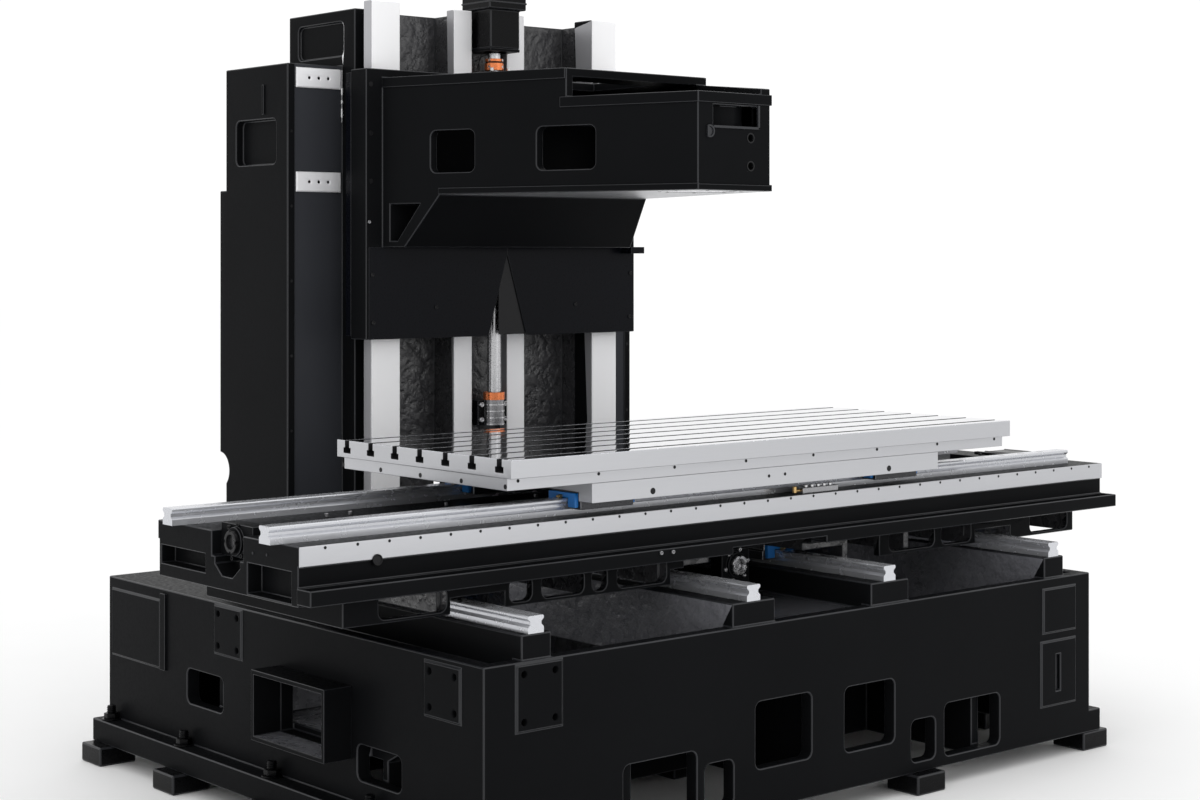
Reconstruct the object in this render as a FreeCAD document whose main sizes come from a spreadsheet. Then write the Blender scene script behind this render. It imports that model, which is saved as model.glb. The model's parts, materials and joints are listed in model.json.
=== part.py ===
import FreeCAD, Part
import Sketcher
import os
import re

# A bridge-saddle vertical machining centre shown as bare castings: an open base with
# four Y rails, a long saddle with two X rails, a T-slotted table, a column with four
# box ways and a tapered spindle head. Millimetres, +Z up, +Y towards the column.
# The origin is on the floor under the machine's middle plane.

DIMENSIONS = [
    # base casting
    ("foot_height", 61), ("foot_side", 130), ("foot_reach", 40),
    ("base_half_width", 1275), ("base_front", -665), ("base_rear", 1395),
    ("base_height", 537), ("base_wall", 45), ("ledge_reach", 60), ("ledge_height", 74),
    ("tail_half_width", 860), ("tail_rear", 1640), ("deck_thickness", 50),
    ("well_rear", 760), ("trough_front", -135), ("trough_rear", 449),
    ("trough_floor", 285), ("slope_top_drop", 55), ("pass_height", 175),
    ("duct_front", -38), ("duct_rear", 323), ("duct_floor", 265), ("duct_height", 178),
    ("duct_reach", 92), ("duct_sheet", 14), ("center_floor_drop", 12), ("shelf_drop", 30),
    ("pedestal_width", 170), ("pedestal_outer_width", 100), ("pedestal_rise", 68),
    ("pedestal_rear", 720),
    ("pad_proud", 5), ("window_corner", 22), ("pad_hole_radius", 9),
    ("pad_hole_depth", 40), ("pad_inset", 25), ("pad_slot_left", 1090),
    ("pad_slot_right", 1112), ("pad_slot_low", 225), ("pad_slot_high", 345),
    ("pad_slot_depth", 12), ("access_width", 112), ("access_height", 130),
    ("rib_outer", 760), ("rib_inner", 724), ("rib_half", 18), ("tail_inside", 780),
    ("bolt_radius", 15), ("bolt_rise", 46), ("nut_corner_radius", 25), ("nut_height", 20),
    # rolling guides
    ("rail_width", 53), ("rail_rise", 47), ("rail_waist", 8), ("guide_rise", 70),
    ("guide_width", 140), ("guide_length", 200), ("guide_gap", 0.3),
    ("guide_leg_drop", 16), ("y_rail_outer", 1094), ("y_rail_inner", 291),
    ("y_rail_front", -655), ("y_rail_rear", 700), ("y_guide_front", -173),
    ("y_guide_pitch", 265),
    ("x_rail_half_gauge", 254.5), ("x_rail_center", -58.5),
    # saddle casting
    ("saddle_half_length", 1677), ("saddle_front", -420), ("saddle_rear", 322),
    ("saddle_rise", 184), ("saddle_strip", 53), ("saddle_strip_proud", 8),
    ("saddle_deck", 100), ("saddle_keel_inset", 20),
    ("saddle_keel_drop", 44), ("rail_pass_half", 92),
    ("tunnel_half", 200), ("tunnel_lift", 64), ("rib", 26), ("lip_reach", 57),
    ("lip_bottom_drop", 148), ("lip_height", 42), ("lip_sheet", 8),
    ("channel_half", 82), ("channel_depth", 68), ("notch_half", 65),
    ("notch_floor_half", 27), ("notch_depth", 49), ("notch_shoulder", 20),
    ("saddle_keel_setback", 143), ("x_rail_left_over", 39), ("x_rail_right_short", 91),
    ("x_screw_left_inset", 22), ("x_screw_right_inset", 257),
    ("saddle_keel_half", "=saddle_half_length - saddle_keel_setback"),
    ("x_rail_left", "=-saddle_half_length - x_rail_left_over"),
    ("x_rail_right", "=saddle_half_length - x_rail_right_short"),
    ("x_screw_left", "=-saddle_half_length + x_screw_left_inset"),
    ("x_screw_right", "=saddle_half_length - x_screw_right_inset"),
    # table
    ("table_center_x", 16), ("table_half_length", 1063), ("table_half_width", 428.5),
    ("table_upper", 52), ("table_lower", 35), ("table_block", 30), ("table_inset_x", 8),
    ("table_inset_y", 27), ("block_half_length", 740), ("block_skirt", 27),
    ("block_width", 220), ("skirt_width", 60), ("slot_pitch", 125), ("slot_throat", 22),
    ("slot_depth", 38), ("slot_foot_width", 37), ("slot_foot_height", 16),
    ("x_guide_offset", 620),
    # drives
    ("screw_radius", 25), ("screw_end_radius", 20), ("shaft_gap", 0.05),
    ("nut_radius", 45), ("nut_flange_radius", 62), ("nut_flange", 18), ("nut_length", 110),
    ("bearing_length", 50), ("bearing_half", 58), ("cap_radius", 39), ("cap_length", 10),
    ("coupling_radius", 34), ("coupling_length", 62), ("motor_half", 60),
    ("motor_plate", 20), ("motor_shaft_radius", 14),
    ("x_screw_drop", 25), ("x_nut_left", -120), ("y_screw_rise", 35), ("y_screw_front", -285),
    ("y_screw_rear", 830), ("y_nut_front", 243), ("y_motor_half", 75),
    ("y_motor_length", 210),
    # column casting
    ("column_half", 545), ("column_front", 1028), ("column_back", 1446),
    ("column_top", 2508), ("shoulder_half", 765), ("shoulder_front", 1105),
    ("shoulder_back", 1511), ("shoulder_top", 2314), ("boss_proud", 41),
    ("boss_top", 1890), ("boss_bottom", 914), ("notch_height", 61), ("column_wall", 42),
    ("way_front", 926), ("way_inner_front", 984), ("way_thickness", 49),
    ("way_outer_width", 117.5), ("way_inner_a", 77.5), ("way_inner_b", 158),
    ("way_web_inset", 50), ("way_top", 2528), ("way_bottom_rise", 42),
    ("recess_depth", 72), ("tunnel_width_half", 160), ("tunnel_height", 302),
    ("flange_reach", 40), ("flange_height", 50), ("flange_front", 936),
    ("panel_depth", 12), ("side_window_low", 1975), ("side_window_high", 2129),
    ("side_window_front", 1178), ("side_window_back", 1441), ("side_window_depth", 30),
    ("shoulder_pad_width", 178), ("shoulder_pad_height", 66), ("shoulder_pad_proud", 6), ("pad_low", 1880),
    ("pad_high", 2234), ("pad_hole_pitch", 38), ("pad_hole", 5), ("bay_split_low", 1180),
    ("bay_split_high", 1760), ("back_window_inner", 110), ("back_window_outer", 430),
    # spindle head
    ("slide_half", 596), ("slide_front", 883), ("slide_bottom", 1380),
    ("slide_waist", 1690), ("slide_top", 2291), ("slide_gap", 0.3), ("leg_inner", 400),
    ("keeper_depth", 30), ("keeper_inner", 500), ("slide_notch_half", 130),
    ("slide_notch_bottom", 2010), ("head_nose", -273), ("nose_half", 155),
    ("head_rear_half", 530), ("head_bottom", 1865), ("head_deck", 2170),
    ("head_rear_deck", 2262), ("head_step", 184), ("head_wall", 28),
    ("ridge_height", 2305), ("ridge_nose_height", 2189), ("ridge_width", 40),
    ("nose_hole_x", 70), ("nose_hole_low", 1943), ("nose_hole_high", 2031),
    ("nose_hole_radius", 12), ("deck_hatch_half", 75), ("rear_hatch_half", 180),
    ("spindle_y", -118), ("spindle_radius", 105), ("spindle_tube", 26),
    ("window_low", 1937), ("window_high", 2076), ("window_a_front", 524),
    ("window_a_back", 693), ("window_b_front", 80), ("window_b_back", 292),
    ("gusset_thickness", 36), ("gusset_reach", 226), ("gusset_foot", 88),
    ("gusset_bar", 78), ("gusset_sill", 21), ("gusset_rim", 30),
    ("gusset_hole_depth", 140), ("guard_sheet", 3), ("guard_half", 587), ("guard_slot_half", 85),
    ("guard_slot_apex", 1664), ("z_screw_y", 958), ("z_lower_bearing", 1059),
    ("z_lower_length", 117), ("z_bearing_radius", 36), ("z_nut_low", 1700),
    ("z_upper_bearing", 2264), ("z_bracket_half", 64), ("z_motor_bottom", 2393),
    ("z_motor_half", 65), ("z_motor_cap_half", 82), ("z_motor_neck", 137),
    ("z_motor_cap", 215), ("tab_length", 64), ("tab_depth", 57), ("tab_sheet", 24), ("tab_lift", 3),
]

doc = FreeCAD.newDocument("MachiningCenter")
sheet = doc.addObject("Spreadsheet::Sheet", "Dimensions")
for row, (alias, value) in enumerate(DIMENSIONS, start=1):
    sheet.set(f"A{row}", alias)
    sheet.set(f"B{row}", str(value))
    sheet.setAlias(f"B{row}", alias)
doc.recompute()

ALIASES = {alias for alias, value in DIMENSIONS}
WORD = re.compile(r"[a-z][a-z_]+")


def bound(text):
    """Put the sheet's name in front of every alias in an expression."""
    return WORD.sub(lambda m: f"Dimensions.{m[0]}" if m[0] in ALIASES else m[0], str(text))


def bind(item, prop, text):
    item.setExpression(prop, bound(text))


def measure(alias):
    return float(sheet.get(alias))


# Levels and places that several pieces share, as expressions in the sheet's aliases.
BASE_TOP = "(foot_height + base_height)"
Y_SEAT = f"({BASE_TOP} + pedestal_rise)"
SADDLE_SEAT = f"({Y_SEAT} + guide_rise)"
SADDLE_TOP = f"({SADDLE_SEAT} + saddle_rise)"
TABLE_SEAT = f"({SADDLE_TOP} + guide_rise)"
TABLE_BLOCK_TOP = f"({TABLE_SEAT} + table_block)"
TABLE_STEP = f"({TABLE_BLOCK_TOP} + table_lower)"
TABLE_TOP = f"({TABLE_STEP} + table_upper)"
X_AXIS_Z = f"({SADDLE_TOP} - x_screw_drop)"
Y_AXIS_Z = f"({Y_SEAT} + y_screw_rise)"
TABLE_Y = "x_rail_center"
WAY_BACK = "(way_front + way_thickness)"
SLIDE_BACK = "(way_front - slide_gap)"
WALL_INSIDE = "(base_half_width - base_wall)"


def block(name, x_span, y_span, z_span):
    """Box between two planes on each axis."""
    item = doc.addObject("Part::Box", name)
    sides = zip(("Length", "Width", "Height"), "xyz", (x_span, y_span, z_span))
    for size, axis, (low, high) in sides:
        bind(item, size, f"({high}) - ({low})")
        bind(item, f"Placement.Base.{axis}", low)
    return item


def centered(name, half, y_span, z_span):
    """Box that is symmetric about the machine's middle plane."""
    return block(name, (f"-({half})", half), y_span, z_span)


TURNS = {
    "x": FreeCAD.Rotation(FreeCAD.Vector(0, 1, 0), 90),
    "y": FreeCAD.Rotation(FreeCAD.Vector(1, 0, 0), -90),
    "z": FreeCAD.Rotation(),
}


def rod(name, axis, at, span, radius):
    """Cylinder along one axis; at holds the places on the other two, in X, Y, Z order."""
    item = doc.addObject("Part::Cylinder", name)
    item.Placement = FreeCAD.Placement(FreeCAD.Vector(), TURNS[axis])
    low, high = span
    bind(item, "Radius", radius)
    bind(item, "Height", f"({high}) - ({low})")
    others = [letter for letter in "xyz" if letter != axis]
    places = {axis: low, others[0]: at[0], others[1]: at[1]}
    for letter, text in places.items():
        bind(item, f"Placement.Base.{letter}", text)
    return item


def taper(name, y_span, x_spans, z_spans):
    """Wedge along Y: its X and Z spans at the front plane and at the back plane."""
    item = doc.addObject("Part::Wedge", name)
    (front_x, back_x), (front_z, back_z) = x_spans, z_spans
    fields = {
        "Ymin": y_span[0], "Ymax": y_span[1],
        "Xmin": front_x[0], "Xmax": front_x[1], "X2min": back_x[0], "X2max": back_x[1],
        "Zmin": front_z[0], "Zmax": front_z[1], "Z2min": back_z[0], "Z2max": back_z[1],
    }
    for field, text in fields.items():
        bind(item, field, text)
    return item


def profile(name, axis, outline, span):
    """Body padded along X or Y from a closed outline of (across, up) expressions."""
    body = doc.addObject("PartDesign::Body", name)
    role = {"x": "YZ_Plane", "y": "XZ_Plane"}[axis]
    plane = next(f for f in body.Origin.OriginFeatures if f.Role == role)
    sketch = body.newObject("Sketcher::SketchObject", f"{name}_outline")
    sketch.AttachmentSupport = [(plane, "")]
    sketch.MapMode = "FlatFace"
    count = len(outline)
    for index in range(count):
        start = FreeCAD.Vector(index, index * index, 0)
        after = (index + 1) % count
        end = FreeCAD.Vector(after, after * after, 0)
        sketch.addGeometry(Part.LineSegment(start, end), False)
    for index in range(count):
        sketch.addConstraint(
            Sketcher.Constraint("Coincident", index, 2, (index + 1) % count, 1)
        )
    for index, (across, up) in enumerate(outline):
        for kind, text in (("DistanceX", across), ("DistanceY", up)):
            value = float(sheet.evalExpression(bound(text)))
            place = sketch.addConstraint(
                Sketcher.Constraint(kind, -1, 1, index, 1, value)
            )
            bind(sketch, f"Constraints[{place}]", text)
    pad = body.newObject("PartDesign::Pad", f"{name}_pad")
    pad.Profile = sketch
    low, high = span
    bind(pad, "Length", f"({high}) - ({low})")
    offset = low if axis == "x" else f"-({high})"
    bind(sketch, "AttachmentOffset.Base.z", offset)
    body.Tip = pad
    return body


def joined(name, pieces):
    item = doc.addObject("Part::MultiFuse", name)
    item.Shapes = pieces
    item.Refine = True
    return item


def carved(name, solid, tools):
    """Cut one or more tools from a solid."""
    tool = tools[0] if len(tools) == 1 else joined(f"{name}_tools", tools)
    item = doc.addObject("Part::Cut", name)
    item.Base = solid
    item.Tool = tool
    item.Refine = True
    return item


def rounded(name, item, axis, corner):
    """Round a box's four edges that run along one axis."""
    doc.recompute()
    fillet = doc.addObject("Part::Fillet", name)
    fillet.Base = item
    radius = measure(corner)
    chosen = []
    for number, edge in enumerate(item.Shape.Edges, start=1):
        run = edge.tangentAt(edge.FirstParameter)
        if abs(abs(getattr(run, axis)) - 1) < 1e-6:
            chosen.append((number, radius, radius))
    fillet.Edges = chosen
    return fillet


def window(name, axis, x_span, y_span, z_span):
    tool = block(f"{name}_box", x_span, y_span, z_span)
    return rounded(name, tool, axis, "window_corner")


NODES = []


def node(label, item):
    """Name a finished sub-part; its label names its file."""
    item.Label = label
    NODES.append(item)
    return item


# ---------------------------------------------------------------- base casting
PAD_SPOTS = {
    # name: (side, low across, high across, low up, high up, holes)
    "left_rear": ("left", 1042, 1368, 344, 560, False),
    "left_mid": ("left", 541, 702, 442, 590, True),
    "left_front": ("left", -567, -405, 435, 581, True),
    "front_left": ("front", -1169, -1014, 414, 590, True),
    "front_right_top": ("front", 1026, 1196, 420, 564, False),
    "front_right_low": ("front", 1015, 1196, 179, 391, False),
}
SIDE_WINDOWS = {"rear": (654, 875, 261, 369), "front": (-294, -80, 200, 300)}
FRONT_WINDOWS = {
    "a": (-796, -524, 100, 270), "b": (-292, -61, 180, 374),
    "c": (81, 303, 172, 367), "d": (536, 805, 92, 257),
}
FRONT_FEET = (-436, 436)
SIDE_FEET = (-600, -180, 330, 850, 1330)


def pad_block(name, spot):
    side, low, high, bottom, top, holes = spot
    if side == "front":
        face = "base_front"
        return block(name, (low, high), (f"{face} - pad_proud", face), (bottom, top))
    face = "-base_half_width"
    return block(name, (f"{face} - pad_proud", face), (low, high), (bottom, top))


def pad_holes(name, spot):
    side, low, high, bottom, top, holes = spot
    tools = []
    if not holes:
        return tools
    for i, across in enumerate((f"{low} + pad_inset", f"{high} - pad_inset")):
        for j, up in enumerate((f"{bottom} + pad_inset", f"{top} - pad_inset")):
            if side == "front":
                span = ("base_front - pad_proud", "base_front + pad_hole_depth")
                tools.append(rod(f"{name}_{i}{j}", "y", (across, up), span, "pad_hole_radius"))
            else:
                face = "-base_half_width"
                span = (f"{face} - pad_proud", f"{face} + pad_hole_depth")
                tools.append(rod(f"{name}_{i}{j}", "x", (across, up), span, "pad_hole_radius"))
    return tools


def base_casting():
    front_in = "base_front + base_wall"
    shell = [
        centered("base_body", "base_half_width", ("base_front", "base_rear"),
                 ("foot_height", BASE_TOP)),
        centered("base_ledge", "base_half_width + ledge_reach", ("base_front", "base_rear"),
                 ("foot_height", "foot_height + ledge_height")),
        centered("base_tail", "tail_half_width", ("base_rear - base_wall", "tail_rear"),
                 ("foot_height", BASE_TOP)),
    ]
    for name, spot in PAD_SPOTS.items():
        shell.append(pad_block(f"base_pad_{name}", spot))
    hollow = [
        centered("base_well", WALL_INSIDE, (front_in, "well_rear"),
                 ("trough_floor", f"{BASE_TOP} + 1")),
    ]
    well = carved("base_shell", joined("base_outside", shell), hollow)
    high = f"{BASE_TOP} - slope_top_drop"
    low = "trough_floor + 12"
    under = "trough_floor - 30"
    inside = (f"-{WALL_INSIDE}", WALL_INSIDE)
    added = [
        well,
        taper("base_front_slope", (front_in, "trough_front"), (inside, inside),
              (("trough_floor - 1", high), ("trough_floor - 1", low))),
        taper("base_rear_slope", ("trough_rear", "well_rear"), (inside, inside),
              (("trough_floor - 1", low), ("trough_floor - 1", high))),
        centered("base_center_floor", "y_rail_inner", (front_in, "well_rear"),
                 ("trough_floor", f"{BASE_TOP} - center_floor_drop")),
    ]
    for index, place in enumerate(RAIL_PLACES):
        width = "pedestal_outer_width" if "outer" in place else "pedestal_width"
        added.append(block(
            f"base_pedestal_{index}", (f"{place} - {width} / 2", f"{place} + {width} / 2"),
            ("y_rail_front - 2", "pedestal_rear"), ("trough_floor", Y_SEAT)))
    for word, span in mirrored_spans("y_rail_outer", WALL_INSIDE):
        added.append(block(f"base_shelf_{word}", span, (front_in, "well_rear"),
                           ("trough_floor", f"{BASE_TOP} - shelf_drop")))
    solid = joined("base_solid", added)
    cuts = [
        centered("base_trough_pass", WALL_INSIDE, ("trough_front", "trough_rear"),
                 ("trough_floor", "trough_floor + pass_height")),
        block("base_duct_mouth", ("-base_half_width - 1", f"-{WALL_INSIDE} + 1"),
              ("duct_front", "duct_rear"), ("duct_floor", "duct_floor + duct_height")),
    ]
    bays = (("-" + WALL_INSIDE, "-rib_outer"), ("-rib_inner", "-rib_half"),
            ("rib_half", "rib_inner"), ("rib_outer", WALL_INSIDE))
    for index, span in enumerate(bays):
        cuts.append(block(f"base_under_mid_{index}", span, ("trough_front", "trough_rear"),
                          ("foot_height - 1", under)))
        cuts.append(taper(
            f"base_under_front_{index}", (front_in, "trough_front - rib"), (span, span),
            (("foot_height - 1", f"{high} - base_wall"), ("foot_height - 1", under))))
        cuts.append(taper(
            f"base_under_back_{index}", ("trough_rear + rib", "well_rear - rib"), (span, span),
            (("foot_height - 1", under), ("foot_height - 1", f"{high} - base_wall"))))
        cuts.append(block(
            f"base_under_rear_{index}", span, ("well_rear", "base_rear - base_wall - rib"),
            ("foot_height - 1", f"{BASE_TOP} - deck_thickness")))
    for index, span in enumerate((("-tail_inside", "-rib_half"), ("rib_half", "tail_inside"))):
        cuts.append(block(
            f"base_under_tail_{index}", span, ("base_rear", "tail_rear - base_wall"),
            ("foot_height - 1", f"{BASE_TOP} - deck_thickness")))
    for name, (low_y, high_y, bottom, top) in SIDE_WINDOWS.items():
        for side, face in (("left", f"-{WALL_INSIDE} + 4"), ("right", "base_half_width + 1")):
            span = (f"{face} - base_wall - 5", face)
            cuts.append(window(f"base_side_window_{side}_{name}", "x", span,
                               (low_y, high_y), (bottom, top)))
    for name, (low_x, high_x, bottom, top) in FRONT_WINDOWS.items():
        cuts.append(window(f"base_front_window_{name}", "y", (low_x, high_x),
                           ("base_front - 1", "base_front + base_wall + 6"), (bottom, top)))
    for index, place in enumerate(FRONT_FEET):
        cuts.append(window(
            f"base_foot_access_{index}", "y",
            (f"{place} - access_width / 2", f"{place} + access_width / 2"),
            ("base_front - 1", "base_front + base_wall + 60"),
            ("foot_height + 34", "foot_height + 34 + access_height")))
    cuts.append(block("base_pad_slot", ("pad_slot_left", "pad_slot_right"),
                      ("base_front - pad_proud - 1", "base_front + pad_slot_depth"),
                      ("pad_slot_low", "pad_slot_high")))
    for name, spot in PAD_SPOTS.items():
        cuts.extend(pad_holes(f"base_pad_hole_{name}", spot))
    return node("base_casting", carved("base_cut", solid, cuts))


RAIL_PLACES = ("-y_rail_outer", "-y_rail_inner", "y_rail_inner", "y_rail_outer")
RAIL_WORDS = ("outer_left", "inner_left", "inner_right", "outer_right")


def chip_outlet():
    face = "-base_half_width"
    low, high = "duct_front", "duct_rear"
    bottom, top = "duct_floor", "duct_floor + duct_height"
    sheet_gap = "duct_sheet"
    outer = block("duct_outside", (f"{face} - duct_reach", face),
                  (f"{low} - {sheet_gap}", f"{high} + {sheet_gap}"),
                  (f"{bottom} - {sheet_gap}", f"{top} + {sheet_gap}"))
    inner = block("duct_inside", (f"{face} - duct_reach - 1", f"{face} + 1"),
                  (low, high), (bottom, top))
    return node("chip_outlet", carved("duct", outer, [inner]))


def feet():
    blocks = [block("foot_center", ("-foot_side / 2", "foot_side / 2"),
                    ("-foot_side / 2", "foot_side / 2"), (0, "foot_height"))]
    bolts = []
    for side, sign in (("left", "-"), ("right", "")):
        middle = f"{sign}(base_half_width + ledge_reach - foot_side / 2 + foot_reach)"
        bolt_x = f"{sign}(base_half_width + ledge_reach / 2)"
        for index, place in enumerate(SIDE_FEET):
            blocks.append(block(
                f"foot_{side}_{index}",
                (f"{middle} - foot_side / 2", f"{middle} + foot_side / 2"),
                (f"{place} - foot_side / 2", f"{place} + foot_side / 2"),
                (0, "foot_height")))
            top = "foot_height + ledge_height"
            bolts.append(rod(f"bolt_{side}_{index}", "z", (bolt_x, place),
                             (top, f"{top} + bolt_rise"), "bolt_radius"))
            bolts.append(rod(f"nut_{side}_{index}", "z", (bolt_x, place),
                             (top, f"{top} + nut_height"), "nut_corner_radius"))
    for index, place in enumerate(FRONT_FEET):
        blocks.append(block(
            f"foot_front_{index}", (f"{place} - foot_side / 2", f"{place} + foot_side / 2"),
            ("base_front - foot_reach + 5", "base_front - foot_reach + 5 + foot_side"),
            (0, "foot_height")))
    node("levelling_feet", joined("feet", blocks))
    node("levelling_bolts", joined("bolts", bolts))


# ---------------------------------------------------------------- rolling guides
def rail_outline(center, seat):
    half = "rail_width / 2"
    waist = "(rail_width / 2 - rail_waist)"
    return [
        (f"{center} - {half}", seat),
        (f"{center} + {half}", seat),
        (f"{center} + {half}", f"{seat} + rail_rise * 0.34"),
        (f"{center} + {waist}", f"{seat} + rail_rise * 0.5"),
        (f"{center} + {waist}", f"{seat} + rail_rise * 0.66"),
        (f"{center} + {half}", f"{seat} + rail_rise * 0.82"),
        (f"{center} + {half}", f"{seat} + rail_rise - 3"),
        (f"{center} + {half} - 3", f"{seat} + rail_rise"),
        (f"{center} - {half} + 3", f"{seat} + rail_rise"),
        (f"{center} - {half}", f"{seat} + rail_rise - 3"),
        (f"{center} - {half}", f"{seat} + rail_rise * 0.82"),
        (f"{center} - {waist}", f"{seat} + rail_rise * 0.66"),
        (f"{center} - {waist}", f"{seat} + rail_rise * 0.5"),
        (f"{center} - {half}", f"{seat} + rail_rise * 0.34"),
    ]


def guide_outline(center, seat):
    """Section of a carriage: a saddle over the rail's head, clear of it all round."""
    half = "guide_width / 2"
    gap = "(rail_width / 2 + guide_gap)"
    foot = f"{seat} + guide_leg_drop"
    roof = f"{seat} + rail_rise + guide_gap"
    top = f"{seat} + guide_rise"
    return [
        (f"{center} - {half}", foot), (f"{center} - {gap}", foot),
        (f"{center} - {gap}", roof), (f"{center} + {gap}", roof),
        (f"{center} + {gap}", foot), (f"{center} + {half}", foot),
        (f"{center} + {half}", f"{top} - 26"), (f"{center} + {half} - 8", f"{top} - 22"),
        (f"{center} + {half} - 8", top), (f"{center} - {half} + 8", top),
        (f"{center} - {half} + 8", f"{top} - 22"), (f"{center} - {half}", f"{top} - 26"),
    ]


def rolling_guides():
    for word, place in zip(RAIL_WORDS, RAIL_PLACES):
        rail = profile(f"y_rail_{word}_bar", "y", rail_outline(place, Y_SEAT),
                       ("y_rail_front", "y_rail_rear"))
        node(f"y_rail_{word}", rail)
        for end, shift in (("front", "0"), ("rear", "y_guide_pitch")):
            low = f"y_guide_front + {shift}"
            guide = profile(f"y_guide_{word}_{end}_body", "y", guide_outline(place, Y_SEAT),
                            (low, f"{low} + guide_length"))
            node(f"y_guide_{word}_{end}", guide)
    for word, sign in (("front", "-"), ("rear", "+")):
        place = f"x_rail_center {sign} x_rail_half_gauge"
        rail = profile(f"x_rail_{word}_bar", "x", rail_outline(place, SADDLE_TOP),
                       ("x_rail_left", "x_rail_right"))
        node(f"x_rail_{word}", rail)
        for end, shift in (("left", "-x_guide_offset"), ("right", "+x_guide_offset")):
            middle = f"table_center_x - 10 {shift}"
            guide = profile(f"x_guide_{word}_{end}_body", "x", guide_outline(place, SADDLE_TOP),
                            (f"{middle} - guide_length / 2", f"{middle} + guide_length / 2"))
            node(f"x_guide_{word}_{end}", guide)


# ---------------------------------------------------------------- saddle casting
SADDLE_POCKETS = (
    (-1421, -1200), (-984, -905), (-870, -716), (-686, -630), (-590, -400),
    (573, 794), (830, 980), (1295, 1501),
)
END_POCKETS = ((58, 302, 801, 852), (-379, -163, 771, 852))


def saddle_casting():
    deck_low = f"{SADDLE_TOP} - saddle_deck"
    keel_low = f"{SADDLE_SEAT} - saddle_keel_drop"
    inner_front = "saddle_front + saddle_strip_proud"
    lip_low = f"{SADDLE_TOP} - lip_bottom_drop"
    span_x = ("-saddle_keel_half", "saddle_keel_half")
    pieces = [
        centered("saddle_strip_slab", "saddle_half_length", ("saddle_front", "saddle_rear"),
                 (f"{SADDLE_TOP} - saddle_strip", SADDLE_TOP)),
        centered("saddle_deck_slab", "saddle_half_length",
                 (inner_front, "saddle_rear - saddle_strip_proud"),
                 (f"{lip_low} - 8", SADDLE_TOP)),
        centered("saddle_keel", "saddle_keel_half",
                 ("saddle_front + saddle_keel_inset", "saddle_rear - saddle_keel_inset"),
                 (keel_low, deck_low)),
        centered("saddle_lip", "saddle_half_length + 4",
                 ("saddle_front - lip_reach", f"{inner_front} + 1"),
                 (lip_low, f"{lip_low} + lip_height")),
    ]
    gutter = centered("saddle_gutter", "saddle_half_length - 4",
                      ("saddle_front - lip_reach + lip_sheet", f"{inner_front} - 2"),
                      (f"{lip_low} + lip_sheet", f"{lip_low} + lip_height + 1"))
    solid = joined("saddle_solid", pieces)
    cuts = [gutter]
    for index, place in enumerate(RAIL_PLACES):
        cuts.append(block(
            f"saddle_rail_pass_{index}",
            (f"{place} - rail_pass_half", f"{place} + rail_pass_half"),
            ("saddle_front - 100", "saddle_rear + 100"), (f"{keel_low} - 1", SADDLE_SEAT)))
    cuts.append(centered("saddle_tunnel", "tunnel_half", ("saddle_front - 100", "saddle_rear + 100"),
                         (f"{keel_low} - 1", f"{SADDLE_SEAT} + tunnel_lift - 8")))
    cells = (
        (f"-saddle_keel_half + rib", "-y_rail_outer - rail_pass_half - rib"),
        ("-y_rail_outer + rail_pass_half + rib", "-700"),
        ("-700 + rib", "-y_rail_inner - rail_pass_half - rib"),
        ("y_rail_inner + rail_pass_half + rib", "700 - rib"),
        ("700", "y_rail_outer - rail_pass_half - rib"),
        ("y_rail_outer + rail_pass_half + rib", "saddle_keel_half - rib"),
    )
    rows = (("saddle_front + saddle_keel_inset + rib", "x_rail_center - rib / 2"),
            ("x_rail_center + rib / 2", "saddle_rear - saddle_keel_inset - rib"))
    for i, cell in enumerate(cells):
        for j, run in enumerate(rows):
            cuts.append(block(f"saddle_cell_{i}{j}", cell, run,
                              (f"{keel_low} - 1", f"{deck_low} - 30")))
    for index, (low, high) in enumerate(SADDLE_POCKETS):
        cuts.append(window(f"saddle_pocket_{index}", "y", (low, high),
                           ("saddle_front - 1", "saddle_front + saddle_keel_inset + rib + 4"),
                           (f"{keel_low} + 10", f"{lip_low} - 4")))
    cuts.append(block("saddle_front_arch", ("-329", "525"),
                      ("saddle_front - 1", "saddle_front + saddle_keel_inset + rib + 4"),
                      (f"{keel_low} - 1", f"{SADDLE_SEAT} + 24")))
    channel = ("x_rail_center - channel_half", "x_rail_center + channel_half")
    length = ("-saddle_half_length - 1", "saddle_half_length + 1")
    cuts.append(block("saddle_channel", length, channel,
                      (f"{SADDLE_TOP} - channel_depth", f"{SADDLE_TOP} + 1")))
    sill = f"{SADDLE_TOP} - channel_depth"
    outline = [(f"x_rail_center + {side} * {across}", f"{sill} - {down}") for side, across, down in (
        (-1, "notch_half", "-1"), (-1, "notch_half", "notch_shoulder"),
        (-1, "notch_floor_half", "notch_depth"), (1, "notch_floor_half", "notch_depth"),
        (1, "notch_half", "notch_shoulder"), (1, "notch_half", "-1"))]
    cuts.append(profile("saddle_notch", "x", outline, length))
    for index, (low, high, bottom, top) in enumerate(END_POCKETS):
        for side, face in (("left", "-saddle_half_length - 1"),
                           ("right", "saddle_half_length - 45")):
            cuts.append(block(f"saddle_end_pocket_{side}_{index}", (face, f"{face} + 46"),
                              (low, high), (bottom, top)))
    return node("saddle_casting", carved("saddle_cut", solid, cuts))


# ---------------------------------------------------------------- table
def slot_outline(center):
    half = "slot_throat / 2"
    foot = "slot_foot_width / 2"
    bottom = f"{TABLE_TOP} - slot_depth"
    neck = f"{bottom} + slot_foot_height"
    return [
        (f"{center} - {foot}", bottom), (f"{center} + {foot}", bottom),
        (f"{center} + {foot}", neck), (f"{center} + {half}", neck),
        (f"{center} + {half}", f"{TABLE_TOP} + 1"), (f"{center} - {half}", f"{TABLE_TOP} + 1"),
        (f"{center} - {half}", neck), (f"{center} - {foot}", neck),
    ]


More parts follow.
